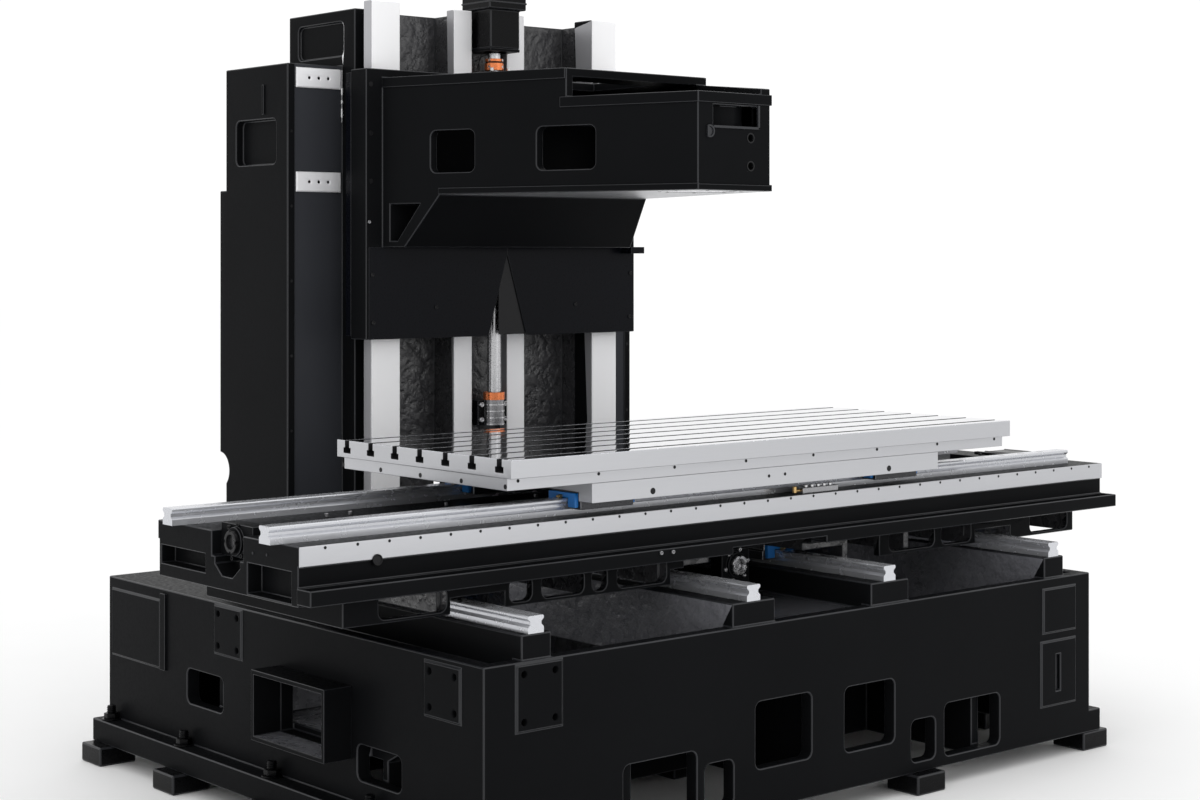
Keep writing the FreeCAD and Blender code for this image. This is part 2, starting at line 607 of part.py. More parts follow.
def table():
    left, right = "table_center_x - table_half_length", "table_center_x + table_half_length"
    front, back = f"{TABLE_Y} - table_half_width", f"{TABLE_Y} + table_half_width"
    block_x = ("table_center_x - 10 - block_half_length",
               "table_center_x - 10 + block_half_length")
    pieces = [
        block("table_upper_slab", (left, right), (front, back), (TABLE_STEP, TABLE_TOP)),
        block("table_lower_slab", (f"{left} + table_inset_x", f"{right} - table_inset_x"),
              (f"{front} + table_inset_y", f"{back} - table_inset_y"),
              (TABLE_BLOCK_TOP, TABLE_STEP)),
        block("table_front_block", block_x,
              (f"{front} + table_inset_y + 3", f"{front} + table_inset_y + 3 + block_width"),
              (TABLE_SEAT, TABLE_BLOCK_TOP)),
        block("table_back_block", block_x,
              (f"{back} - table_inset_y - 3 - block_width", f"{back} - table_inset_y - 3"),
              (TABLE_SEAT, TABLE_BLOCK_TOP)),
        block("table_front_skirt", block_x,
              (f"{front} + table_inset_y + 3", f"{front} + table_inset_y + 3 + skirt_width"),
              (f"{TABLE_SEAT} - block_skirt", TABLE_SEAT)),
        block("table_back_skirt", block_x,
              (f"{back} - table_inset_y - 3 - skirt_width", f"{back} - table_inset_y - 3"),
              (f"{TABLE_SEAT} - block_skirt", TABLE_SEAT)),
        block("table_nut_block", ("x_nut_left + nut_flange", "x_nut_left + nut_length + 30"),
              (f"{TABLE_Y} - 62", f"{TABLE_Y} + 62"),
              (f"{X_AXIS_Z} + nut_radius - 2", TABLE_BLOCK_TOP)),
    ]
    solid = joined("table_solid", pieces)
    slots = []
    for index in range(-3, 4):
        center = f"({TABLE_Y} + slot_pitch * {index})"
        slots.append(profile(f"table_slot_{index + 3}", "x", slot_outline(center),
                             (f"{left} - 1", f"{right} + 1")))
    slots.append(rod("table_nut_seat", "x", (TABLE_Y, X_AXIS_Z),
                     ("x_nut_left - 71", "x_nut_left + nut_length + 31"), "nut_radius"))
    return node("table_top", carved("table_cut", solid, slots))


# ---------------------------------------------------------------- drives
def ball_nut(label, axis, at, low, flange_first):
    end = f"{low} + nut_length"
    flange = (low, f"{low} + nut_flange") if flange_first else (f"{end} - nut_flange", end)
    solid = joined(f"{label}_solid", [
        rod(f"{label}_barrel", axis, at, (low, end), "nut_radius"),
        rod(f"{label}_flange", axis, at, flange, "nut_flange_radius"),
    ])
    bore = rod(f"{label}_bore", axis, at, (f"{low} - 1", f"{end} + 1"),
               "screw_radius + shaft_gap")
    node(label, carved(f"{label}_cut", solid, [bore]))


def bearing(label, axis, at, low, high, block_spans):
    """Bearing block with its round cap; the screw's end runs in it."""
    solid = joined(f"{label}_solid", [
        block(f"{label}_block", *block_spans),
        rod(f"{label}_cap", axis, at, (low, high), "cap_radius"),
    ])
    bore = rod(f"{label}_bore", axis, at, (f"{low} - 1", f"{high} + 1"),
               "screw_end_radius + shaft_gap")
    node(label, carved(f"{label}_cut", solid, [bore]))


def screw(label, axis, at, low, high, start, end):
    """Ball screw: full diameter from start to end, thinner journals out to low and high."""
    node(label, joined(f"{label}_solid", [
        rod(f"{label}_thread", axis, at, (start, end), "screw_radius"),
        rod(f"{label}_journal", axis, at, (low, high), "screw_end_radius"),
    ]))


def motor(label, axis, at, shaft_span, spans):
    body = block(f"{label}_case", *spans)
    shaft = rod(f"{label}_shaft", axis, at, shaft_span, "motor_shaft_radius")
    return node(label, joined(f"{label}_solid", [body, shaft]))


def coupling(label, axis, at, low, high):
    """Coupling hub clamped on the screw's journal and, with a gap, round the motor shaft."""
    solid = rod(f"{label}_hub", axis, at, (low, high), "coupling_radius")
    bore = rod(f"{label}_bore", axis, at, (f"{low} - 1", f"{high} + 1"),
               "screw_end_radius")
    node(label, carved(f"{label}_cut", solid, [bore]))


def x_drive():
    at = ("x_rail_center", X_AXIS_Z)
    y_span = ("x_rail_center - channel_half", "x_rail_center + channel_half")
    floor = f"{SADDLE_TOP} - channel_depth"
    z_span = (floor, f"{X_AXIS_Z} + 46")
    left = "x_screw_left + 8"
    for end, low in (("left", left), ("right", "x_screw_right - bearing_length")):
        high = f"{low} + bearing_length"
        bearing(f"x_bearing_{end}", "x", at, f"{low} - cap_length", f"{high} + cap_length",
                ((low, high), y_span, z_span))
    screw("x_screw", "x", at, "x_screw_left", "x_screw_right + 34",
          f"{left} + bearing_length + cap_length + 4",
          "x_screw_right - bearing_length - cap_length - 4")
    coupling("x_coupling", "x", at, "x_screw_right + 12", "x_screw_right + 12 + coupling_length")
    case = "x_screw_right + 24 + coupling_length"
    half = "motor_half"
    plate = block("x_motor_plate_block", (case, f"{case} + motor_plate"), y_span, z_span)
    hole = rod("x_motor_plate_hole", "x", at, (f"{case} - 1", f"{case} + motor_plate + 1"),
               "cap_radius")
    node("x_motor_plate", carved("x_motor_plate_cut", plate, [hole]))
    start = f"{case} + motor_plate"
    motor("x_motor", "x", at, ("x_screw_right + 38", f"{start} + 1"),
          ((start, "saddle_half_length - 4"),
           (f"x_rail_center - {half}", f"x_rail_center + {half}"),
           (f"{X_AXIS_Z} - 41", f"{X_AXIS_Z} + 46")))
    ball_nut("x_ball_nut", "x", at, "x_nut_left", True)


def y_drive():
    at = ("0", Y_AXIS_Z)
    x_span = ("-bearing_half", "bearing_half")
    floor = f"{BASE_TOP} - center_floor_drop"
    front = "y_screw_front + 8"
    rear = "y_screw_rear - bearing_length"
    bearing("y_bearing_front", "y", at, f"{front} - cap_length",
            f"{front} + bearing_length + cap_length",
            (x_span, (front, f"{front} + bearing_length"), (floor, f"{Y_AXIS_Z} + 48")))
    bearing("y_bearing_rear", "y", at, f"{rear} - cap_length",
            f"{rear} + bearing_length + cap_length",
            (x_span, (rear, f"{rear} + bearing_length"), (BASE_TOP, f"{Y_AXIS_Z} + 48")))
    screw("y_screw", "y", at, "y_screw_front", "y_screw_rear + 34",
          f"{front} + bearing_length + cap_length + 4",
          "y_screw_rear - bearing_length - cap_length - 4")
    coupling("y_coupling", "y", at, "y_screw_rear + 12", "y_screw_rear + 12 + coupling_length")
    case = "y_screw_rear + 24 + coupling_length"
    half = "y_motor_half"
    plate = block("y_motor_plate_block", (f"-{half}", half), (case, f"{case} + motor_plate"),
                  (BASE_TOP, f"{Y_AXIS_Z} + {half}"))
    hole = rod("y_motor_plate_hole", "y", at, (f"{case} - 1", f"{case} + motor_plate + 1"),
               "cap_radius")
    node("y_motor_plate", carved("y_motor_plate_cut", plate, [hole]))
    start = f"{case} + motor_plate"
    motor("y_motor", "y", at, ("y_screw_rear + 38", f"{start} + 1"),
          ((f"-{half}", half), (start, f"{start} + y_motor_length"),
           (f"{Y_AXIS_Z} - {half}", f"{Y_AXIS_Z} + {half}")))
    ball_nut("y_ball_nut", "y", at, "y_nut_front", False)
    bracket = block("y_nut_bracket_block", ("-nut_flange_radius", "nut_flange_radius"),
                    ("y_nut_front", "saddle_rear - saddle_keel_inset"),
                    (f"{Y_AXIS_Z} - 50", f"{SADDLE_SEAT} + tunnel_lift - 8"))
    seat = rod("y_nut_bracket_seat", "y", at,
               ("y_nut_front - 1", "y_nut_front + nut_length"), "nut_radius")
    node("y_nut_bracket", carved("y_nut_bracket_cut", bracket, [seat]))


def z_drive():
    at = ("0", "z_screw_y")
    web = "column_front"
    lower_top = "z_lower_bearing + z_lower_length"
    lower = joined("z_bearing_lower_solid", [
        rod("z_bearing_lower_cup", "z", at, ("z_lower_bearing", lower_top), "z_bearing_radius"),
        centered("z_bearing_lower_arm", "z_bracket_half", ("z_screw_y + 10", web),
                 ("z_lower_bearing", "z_lower_bearing + 90")),
    ])
    bore = rod("z_bearing_lower_bore", "z", at, ("z_lower_bearing - 1", f"{lower_top} + 1"),
               "screw_end_radius + shaft_gap")
    node("z_bearing_lower", carved("z_bearing_lower_cut", lower, [bore]))
    upper = joined("z_bearing_upper_solid", [
        rod("z_bearing_upper_cup", "z", at, ("z_upper_bearing", "z_upper_bearing + bearing_length"),
            "z_bearing_radius + 8"),
        centered("z_bearing_upper_arm", "z_bracket_half", ("z_screw_y + 10", web),
                 ("z_upper_bearing", "z_upper_bearing + bearing_length")),
    ])
    bore = rod("z_bearing_upper_bore", "z", at,
               ("z_upper_bearing - 1", "z_upper_bearing + bearing_length + 1"),
               "screw_end_radius + shaft_gap")
    node("z_bearing_upper", carved("z_bearing_upper_cut", upper, [bore]))
    screw("z_screw", "z", at, "z_lower_bearing + 6", "z_upper_bearing + bearing_length + 34",
          f"{lower_top} + 3", "z_upper_bearing - 3")
    hub = "z_upper_bearing + bearing_length + 5"
    coupling("z_coupling", "z", at, hub, f"{hub} + coupling_length")
    plate = centered("z_motor_shelf_plate", "z_motor_half",
                     ("z_screw_y - z_motor_half", "column_front"),
                     ("z_motor_bottom - motor_plate / 2", "z_motor_bottom"))
    opening = rod("z_motor_shelf_hole", "z", at, ("z_motor_bottom - 40", "z_motor_bottom + 1"),
                  "coupling_radius + 6")
    shelf = carved("z_motor_shelf_cut", plate, [opening])
    node("z_motor_shelf", shelf)
    case = joined("z_motor_solid", [
        centered("z_motor_case", "z_motor_half",
                 ("z_screw_y - z_motor_half", "z_screw_y + z_motor_half"),
                 ("z_motor_bottom", "z_motor_bottom + z_motor_neck + 1")),
        centered("z_motor_head", "z_motor_cap_half",
                 ("z_screw_y - z_motor_cap_half", "z_screw_y + z_motor_cap_half"),
                 ("z_motor_bottom + z_motor_neck", "z_motor_bottom + z_motor_neck + z_motor_cap")),
        rod("z_motor_shaft", "z", at, ("z_upper_bearing + bearing_length + 38",
                                       "z_motor_bottom + 1"), "motor_shaft_radius"),
    ])
    node("z_motor", case)
    ball_nut("z_ball_nut", "z", at, "z_nut_low", False)


# ---------------------------------------------------------------- column casting
BACK_WINDOWS = ((1000, 1150), (1300, 1720), (1850, 2180))


def mirrored_spans(low, high):
    return (("left", (f"-({high})", f"-({low})")), ("right", (low, high)))


def column_casting():
    foot = BASE_TOP
    way_low = f"{BASE_TOP} + way_bottom_rise"
    pieces = [
        centered("column_core", "column_half", ("column_front", "column_back"),
                 (foot, "column_top")),
        centered("column_shoulders", "shoulder_half", ("shoulder_front", "shoulder_back"),
                 (foot, "shoulder_top")),
        centered("column_rear_boss", "shoulder_half", ("shoulder_back - 1",
                                                       "shoulder_back + boss_proud"),
                 ("boss_bottom", "boss_top")),
        centered("column_flange", "shoulder_half + flange_reach",
                 ("flange_front", "shoulder_back + boss_proud"), (foot, f"{foot} + flange_height")),
    ]
    for word, sign in (("left", "-"), ("right", "")):
        pads = (f"{sign}(column_half + 8 + shoulder_pad_width / 2)", "shoulder_pad_width / 2")
        for level in ("pad_low", "pad_high"):
            pieces.append(block(
                f"column_{level}_{word}",
                (f"{pads[0]} - {pads[1]}", f"{pads[0]} + {pads[1]}"),
                ("shoulder_front - shoulder_pad_proud", "shoulder_front + 1"),
                (level, f"{level} + shoulder_pad_height")))
    outer = ("column_half - way_outer_width", "column_half")
    web = ("column_half - way_outer_width", "column_half - way_web_inset")
    inner = ("way_inner_a", "way_inner_b")
    for word, flip in (("left", True), ("right", False)):
        strips = (
            ("outer_way", outer, ("way_front", WAY_BACK)),
            ("outer_web", web, (f"{WAY_BACK} - 1", "column_front + 1")),
            ("inner_way", inner, ("way_inner_front", "column_front + 1")),
        )
        for name, (low, high), run in strips:
            span = (f"-({high})", f"-({low})") if flip else (low, high)
            pieces.append(block(f"column_{name}_{word}", span, run, (way_low, "way_top")))
    solid = joined("column_solid", pieces)
    hollow_front = "shoulder_front + column_wall"
    cuts = []
    levels = ((f"{foot} - 1", "bay_split_low"), ("bay_split_low + rib", "bay_split_high"),
              ("bay_split_high + rib", "shoulder_top - column_wall"))
    bays = (("-shoulder_half + column_wall", "-column_half"), ("-column_half + rib", "-rib / 2"),
            ("rib / 2", "column_half - rib"), ("column_half", "shoulder_half - column_wall"))
    for i, level in enumerate(levels):
        for j, bay in enumerate(bays):
            back = "shoulder_back" if j in (0, 3) else "column_back"
            cuts.append(block(f"column_bay_{i}{j}", bay, (hollow_front, f"{back} - column_wall"),
                              level))
    recess = mirrored_spans("way_inner_b", "column_half - way_outer_width")
    for word, span in recess:
        flip = word == "left"
        cuts.append(block(f"column_recess_{word}", span,
                          ("column_front - 1", "column_front + recess_depth"),
                          (f"{way_low} + 20", "column_top + 1")))
        face = ("-shoulder_half - 1", "-shoulder_half + side_window_depth")
        if not flip:
            face = ("shoulder_half - side_window_depth", "shoulder_half + 1")
        cuts.append(window(f"column_side_window_{word}", "x", face,
                           ("side_window_front", "side_window_back"),
                           ("side_window_low", "side_window_high")))
        panel = ("-column_half - 1", "-column_half + panel_depth")
        if not flip:
            panel = ("column_half - panel_depth", "column_half + 1")
        cuts.append(window(f"column_top_panel_{word}", "x", panel,
                           ("column_front + 70", "column_back - 60"),
                           ("shoulder_top + 36", "column_top - 40")))
        side = "-" if flip else ""
        for level in ("pad_low", "pad_high"):
            middle = f"{side}(column_half + 8 + shoulder_pad_width / 2)"
            for k in (-1, 0, 1):
                cuts.append(rod(
                    f"column_{level}_hole_{word}_{k + 1}", "y",
                    (f"{middle} + pad_hole_pitch * {k}", f"{level} + shoulder_pad_height / 2"),
                    ("shoulder_front - shoulder_pad_proud - 1", "shoulder_front + 30"),
                    "pad_hole"))
    notch_x = ("-shoulder_half - flange_reach - 1", "shoulder_half + flange_reach + 1")
    cuts.append(rod("column_rear_notch", "x",
                    ("shoulder_back + boss_proud", "boss_bottom - 8"), notch_x, "notch_height"))
    cuts.append(centered("column_tunnel", "tunnel_width_half", ("way_front - 1", "tail_rear"),
                         (f"{foot} - 1", f"{foot} + tunnel_height")))
    for index, (low, high) in enumerate(BACK_WINDOWS):
        for word, span in mirrored_spans("back_window_inner", "back_window_outer"):
            cuts.append(window(f"column_back_window_{word}_{index}", "y", span,
                               ("column_back - column_wall - 1", "shoulder_back + boss_proud + 1"),
                               (low, high)))
    return node("column_casting", carved("column_cut", solid, cuts))


# ---------------------------------------------------------------- spindle head
def head_half_at(place, inset="0"):
    """Half width of the tapered head at a Y place, as an expression."""
    slope = "(head_rear_half - nose_half) / (slide_front - head_nose)"
    return f"(nose_half - {inset} + ({place} - head_nose) * {slope})"


def head_taper(name, y_span, z_span, inset="0", z_back=None):
    front, back = y_span
    half_front, half_back = head_half_at(front, inset), head_half_at(back, inset)
    return taper(name, y_span, ((f"-{half_front}", half_front), (f"-{half_back}", half_back)),
                 (z_span, z_back or z_span))


def head_casting():
    pieces = [
        head_taper("head_box", ("head_nose", "slide_front + 1"), ("head_bottom", "head_deck")),
        head_taper("head_raised", ("head_step", "slide_front + 1"),
                   ("head_deck - 1", "head_rear_deck")),
        centered("slide_plate", "slide_half", ("slide_front", SLIDE_BACK),
                 ("slide_waist", "slide_top")),
    ]
    front_half, back_half = head_half_at("head_nose"), head_half_at("slide_front")
    pieces.append(taper(
        "head_ridge", ("head_nose", "slide_front + 1"),
        ((f"{front_half} - ridge_width", front_half), (f"{back_half} - ridge_width", back_half)),
        (("head_deck - 20", "ridge_nose_height"), ("head_deck - 20", "ridge_height"))))
    for word, span in mirrored_spans("leg_inner", "slide_half"):
        pieces.append(block(f"slide_leg_{word}", span, ("slide_front", SLIDE_BACK),
                            ("slide_bottom", "slide_top")))
    for word, span in mirrored_spans("column_half + slide_gap", "slide_half"):
        pieces.append(block(f"slide_cheek_{word}", span, ("slide_front", f"{WAY_BACK} + slide_gap"),
                            ("slide_bottom", "slide_top")))
    nut_block = centered("slide_nut_block", "way_inner_a - 9",
                         (f"{SLIDE_BACK} - 1", "z_screw_y + nut_radius + 8"),
                         ("z_nut_low - 10", "z_nut_low + nut_length - nut_flange"))
    pieces.append(nut_block)
    tip, foot = "(slide_front - gusset_reach)", "(slide_front - gusset_foot)"
    edge, full = ("head_bottom - 1", "head_bottom + 1"), ("slide_waist", "head_bottom + 1")
    pieces.append(head_taper("head_brace_tip", (tip, foot), edge, z_back=full))
    pieces.append(head_taper("head_brace_foot", (foot, "slide_front + 1"), full))
    solid = joined("head_solid", pieces)
    wall = "head_wall"
    cuts = [
        head_taper("head_cavity_front", (f"head_nose + {wall}", f"head_step - {wall}"),
                   (f"head_bottom + {wall}", f"head_deck - {wall}"), wall),
        head_taper("head_cavity_rear", ("head_step", f"slide_front - {wall}"),
                   (f"head_bottom + {wall}", f"head_rear_deck - {wall}"), wall),
        centered("slide_motor_notch", "slide_notch_half", ("slide_front - 1", f"{SLIDE_BACK} + 1"),
                 ("slide_notch_bottom", "slide_top + 1")),
        rod("slide_nut_bore", "z", ("0", "z_screw_y"),
            ("z_nut_low - 11", "z_nut_low + nut_length + 1"), "nut_radius"),
        rod("slide_flange_room", "z", ("0", "z_screw_y"),
            ("z_nut_low + nut_length - nut_flange", "slide_notch_bottom + 1"),
            "nut_flange_radius + 2"),
    ]
    room_tip, room_foot = f"({tip} + gusset_bar)", "(slide_front - gusset_rim * 2)"
    room_top = "(head_bottom - gusset_rim)"
    room_z = ("slide_waist + gusset_sill", room_top)
    deep = "(head_rear_half - gusset_thickness - gusset_hole_depth)"
    rooms = [*mirrored_spans(deep, "head_rear_half + 1"),
             ("middle", (f"-({deep} - 20)", f"{deep} - 20"))]
    for word, span in rooms:
        cuts.append(taper(f"head_brace_room_{word}", (room_tip, f"{room_foot} + 1"),
                          (span, span), ((f"{room_top} - 1", room_top), room_z)))
        cuts.append(block(f"head_brace_bay_{word}", span,
                          (room_foot, "slide_front - gusset_rim"), room_z))
    for name in ("a", "b"):
        span_y = (f"window_{name}_front", f"window_{name}_back")
        cuts.append(window(f"head_window_{name}", "x", ("-head_rear_half - 1", "head_rear_half + 1"),
                           span_y, ("window_low", "window_high")))
    cuts.append(window("head_nose_side_window", "x", ("0", "head_rear_half"), ("-190", "-75"),
                       ("window_low - 20", "window_high - 10")))
    for index, up in enumerate(("nose_hole_low", "nose_hole_high")):
        cuts.append(rod(f"head_nose_hole_{index}", "y", ("nose_hole_x", up),
                        ("head_nose - 1", f"head_nose + {wall} + 1"), "nose_hole_radius"))
    cuts.append(block("head_nose_recess", ("-90", "100"), ("head_nose - 1", f"head_nose + {wall} + 1"),
                      ("head_deck - 105", "head_deck - 40")))
    cuts.append(centered("head_deck_hatch", "deck_hatch_half", ("20", "head_step - 50"),
                         (f"head_deck - {wall} - 1", "head_deck + 1")))
    cuts.append(centered("head_rear_hatch", "rear_hatch_half", ("330", "620"),
                         (f"head_rear_deck - {wall} - 1", "head_rear_deck + 1")))
    shell = carved("head_shell", solid, cuts)
    tube = rod("head_spindle_tube", "z", ("0", "spindle_y"), ("head_bottom", "head_deck"),
               "spindle_radius + spindle_tube")
    bore = rod("head_spindle_bore", "z", ("0", "spindle_y"), ("head_bottom - 1", "head_deck + 1"),
               "spindle_radius")
    body = carved("head_bored", joined("head_with_tube", [shell, tube]), [bore])
    node("head_casting", body)


def head_details():
    for word, flip in (("left", True), ("right", False)):
        low, high = "keeper_inner", "slide_half"
        span = (f"-({high})", f"-({low})") if flip else (low, high)
        back = f"{WAY_BACK} + slide_gap"
        node(f"keeper_{word}", block(f"keeper_{word}_bar", span, (back, f"{back} + keeper_depth"),
                                     ("slide_bottom + 10", "slide_top - 10")))
        edge = "guard_half"
        run = ("slide_front - guard_sheet", "slide_front")
        span = (f"-{edge}", "0") if flip else ("0", edge)
        plate = block(f"guard_{word}_plate", span, run, ("slide_bottom", "slide_waist"))
        slope = "guard_slot_half"
        # the V slot: half of it is cut from each guard
        cutter = doc.addObject("Part::Wedge", f"guard_{word}_vee")
        fields = {
            "Ymin": "0", "Ymax": "guard_slot_apex - slide_bottom + 1",
            "Xmin": f"-{slope}", "Xmax": slope, "X2min": "-1", "X2max": "1",
            "Zmin": "-10", "Zmax": "guard_sheet + 10",
            "Z2min": "-10", "Z2max": "guard_sheet + 10",
        }
        for field, text in fields.items():
            bind(cutter, field, text)
        cutter.Placement = FreeCAD.Placement(
            FreeCAD.Vector(), FreeCAD.Rotation(FreeCAD.Vector(1, 0, 0), 90))
        bind(cutter, "Placement.Base.y", "slide_front")
        bind(cutter, "Placement.Base.z", "slide_bottom - 1")
        node(f"guard_{word}", carved(f"guard_{word}_cut", plate, [cutter]))
    node("wiper_tab", block("wiper_tab_plate", ("head_rear_half", "head_rear_half + tab_length"),
                            ("slide_front - guard_sheet - tab_depth", "slide_front - guard_sheet"),
                            ("slide_waist + tab_lift - tab_sheet", "slide_waist + tab_lift")))


def main():
    base_casting()
    chip_outlet()
    feet()
    rolling_guides()
    saddle_casting()
    table()
    x_drive()
    y_drive()
    z_drive()
    column_casting()
    head_casting()
    head_details()
    doc.recompute()
    for item in doc.Objects:
        if "Invalid" in item.State or "Error" in item.State:
            raise SystemExit(f"{item.Name} ({item.Label}) is {item.State}")
    os.makedirs("parts", exist_ok=True)
    for item in NODES:
        shape = item.Shape
        if shape.isNull() or not shape.isValid():
            raise SystemExit(f"{item.Label} has no valid shape")
        shape.exportStep(f"parts/{item.Label}.step")
        print(f"{item.Label}: {len(shape.Solids)} solid, {shape.Volume / 1e9:.4f} m3")


main()
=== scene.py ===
"""Looks of a bare vertical machining centre: castings, guides, drives, light and camera."""

import json
import logging
import math
from dataclasses import dataclass
from enum import Enum
from typing import Callable, Iterable, Sequence

import bpy
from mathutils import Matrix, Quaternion, Vector


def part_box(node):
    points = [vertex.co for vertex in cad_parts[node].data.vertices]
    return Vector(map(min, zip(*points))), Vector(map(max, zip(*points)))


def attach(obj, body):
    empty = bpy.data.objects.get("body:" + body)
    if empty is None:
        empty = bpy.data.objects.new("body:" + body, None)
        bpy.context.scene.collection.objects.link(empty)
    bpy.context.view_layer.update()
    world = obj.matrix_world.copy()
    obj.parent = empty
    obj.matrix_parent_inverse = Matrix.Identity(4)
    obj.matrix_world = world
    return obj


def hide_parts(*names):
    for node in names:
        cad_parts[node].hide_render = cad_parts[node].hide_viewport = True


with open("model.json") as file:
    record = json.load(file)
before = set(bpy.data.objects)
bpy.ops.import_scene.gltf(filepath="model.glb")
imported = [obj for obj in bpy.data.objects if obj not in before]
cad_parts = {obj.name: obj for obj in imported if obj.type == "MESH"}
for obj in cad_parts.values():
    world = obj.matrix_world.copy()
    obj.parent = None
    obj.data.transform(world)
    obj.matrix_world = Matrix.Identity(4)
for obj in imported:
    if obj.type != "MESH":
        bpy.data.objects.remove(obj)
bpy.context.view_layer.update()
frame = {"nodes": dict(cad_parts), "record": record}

logging.basicConfig(level=logging.INFO, format="%(levelname)s %(name)s: %(message)s")
LOG = logging.getLogger("machine")

Point = tuple[float, float, float]
FaceTest = Callable[[Vector, Vector], bool]

AHEAD = (0, -1, 0)      # towards the operator
FINE_DETAIL = 6.0       # octaves of the fine grain
BROAD_SCALE = 2.3       # cells per metre of the slow change of tone
BROAD_DETAIL = 3.0
NOISE_LOW = 0.35        # the range that the noise mostly keeps to
NOISE_HIGH = 0.65


class Axis(Enum):
    """The three axes of the machine's frame."""

    X = 0
    Y = 1
    Z = 2

    @property
    def direction(self) -> Vector:
        """Unit vector along the axis."""
        return Vector([1.0 if i == self.value else 0.0 for i in range(3)])


# ------------------------------------------------------------------ finishes
@dataclass(frozen=True)
class Finish:
    """A procedural surface: one principled shader with grain in roughness and bump."""

    name: str
    color: tuple[float, float, float]
    metallic: float = 0.0
    roughness: float = 0.4
    spread: float = 0.08
    grain: float = 240.0
    bump: float = 0.1
    depth: float = 0.0004
    tint: float = 0.25
    specular: float = 0.5
    stretch: Point = (1.0, 1.0, 1.0)

    def build(self) -> bpy.types.Material:
        """Make the material, or give back the one already made."""
        made = bpy.data.materials.get(self.name)
        if made:
            return made
        material = bpy.data.materials.new(self.name)
        material.use_nodes = True
        tree = material.node_tree
        shader = tree.nodes["Principled BSDF"]
        shader.inputs["Metallic"].default_value = self.metallic
        shader.inputs["Specular IOR Level"].default_value = self.specular
        place = tree.nodes.new("ShaderNodeTexCoord")
        mapping = tree.nodes.new("ShaderNodeMapping")
        mapping.inputs["Scale"].default_value = self.stretch
        tree.links.new(place.outputs["Object"], mapping.inputs["Vector"])
        fine = self._noise(tree, mapping, self.grain, FINE_DETAIL)
        broad = self._noise(tree, mapping, BROAD_SCALE, BROAD_DETAIL)
        mix = tree.nodes.new("ShaderNodeMix")
        mix.data_type = "RGBA"
        mix.inputs["A"].default_value = (*self._shade(1.0 - self.tint), 1.0)
        mix.inputs["B"].default_value = (*self._shade(1.0 + self.tint), 1.0)
        tree.links.new(broad.outputs["Fac"], mix.inputs["Factor"])
        tree.links.new(mix.outputs["Result"], shader.inputs["Base Color"])
        rough = tree.nodes.new("ShaderNodeMapRange")
        rough.inputs["From Min"].default_value = NOISE_LOW
        rough.inputs["From Max"].default_value = NOISE_HIGH
        rough.inputs["To Min"].default_value = max(0.02, self.roughness - self.spread)
        rough.inputs["To Max"].default_value = min(1.0, self.roughness + self.spread)
        tree.links.new(fine.outputs["Fac"], rough.inputs["Value"])
        tree.links.new(rough.outputs["Result"], shader.inputs["Roughness"])
        bump = tree.nodes.new("ShaderNodeBump")
        bump.inputs["Strength"].default_value = self.bump
        bump.inputs["Distance"].default_value = self.depth
        tree.links.new(fine.outputs["Fac"], bump.inputs["Height"])
        tree.links.new(bump.outputs["Normal"], shader.inputs["Normal"])
        return material

    def _shade(self, factor: float) -> tuple[float, float, float]:
        """The base colour, lighter or darker.

        Args:
            factor: multiplier on each channel.
        """
        return tuple(min(1.0, channel * factor) for channel in self.color)

    @staticmethod
    def _noise(tree: bpy.types.NodeTree, source: bpy.types.Node, scale: float,
               detail: float) -> bpy.types.Node:
        """Add a noise texture.

        Args:
            tree: the material's node tree.
            source: node whose vector output drives the noise.
            scale: cells per metre.
            detail: octaves of noise.

        Returns:
            The noise node.
        """
        noise = tree.nodes.new("ShaderNodeTexNoise")
        noise.inputs["Scale"].default_value = scale
        noise.inputs["Detail"].default_value = detail
        tree.links.new(source.outputs["Vector"], noise.inputs["Vector"])
        return noise


CAST_PAINT = Finish("cast_paint", (0.0058, 0.0061, 0.0068), roughness=0.38, spread=0.07, grain=90.0,
    bump=0.2, tint=0.2, specular=0.02)
# Cast paint made several times lighter for faces that render in shade: painted light.
SHOULDER_LIGHT = Finish("shoulder_painted_light", (0.036, 0.038, 0.044), spread=0.05, grain=90.0, bump=0.15,
    tint=0.15, specular=0.06)
# Lighter paint for rounded edges and small trim: painted highlight together with worn paint.
HIGHLIGHT_WEAR = Finish("highlight_and_wear_paint", (0.02, 0.021, 0.024), roughness=0.34, spread=0.04, grain=40.0,
    bump=0.05, depth=0.0002, tint=0.6, specular=0.3)
RAW_CAST = Finish("raw_cast", (0.034, 0.034, 0.037), roughness=0.3, spread=0.14, grain=26.0,
    bump=1.0, depth=0.01, tint=0.7, specular=0.7)
# Rough cast several times lighter than RAW_CAST: painted light and sheen for lit slopes and flanks.
ROUGH_CAST_LIT = Finish("rough_cast_painted_light", (0.15, 0.152, 0.168), roughness=0.3, spread=0.14, grain=22.0,
    bump=1.0, depth=0.01, tint=0.8, specular=0.9)
# Glossy black paint whose base colour is lifted to grey: painted reflection on top of real gloss.
GLOSS_REFLECTION = Finish("gloss_painted_reflection", (0.055, 0.056, 0.062), roughness=0.12, spread=0.05, grain=14.0,
    depth=0.001, tint=0.6, specular=1.0)
SHEET_PAINT = Finish("sheet_paint", (0.0024, 0.0028, 0.0048), roughness=0.3, spread=0.04,
    grain=160.0, bump=0.12, depth=0.0002, tint=0.15, specular=0.08)
MOTOR_PAINT = Finish("motor_paint", (0.0022, 0.0023, 0.0028), roughness=0.3, spread=0.05,
    grain=200.0, tint=0.15, specular=0.1)
GROUND_X = Finish("ground_along_x", (0.5, 0.505, 0.525), metallic=0.8, roughness=0.34, spread=0.05,
    grain=180.0, bump=0.2, depth=0.0001, tint=0.06, stretch=(0.04, 1.0, 1.0))
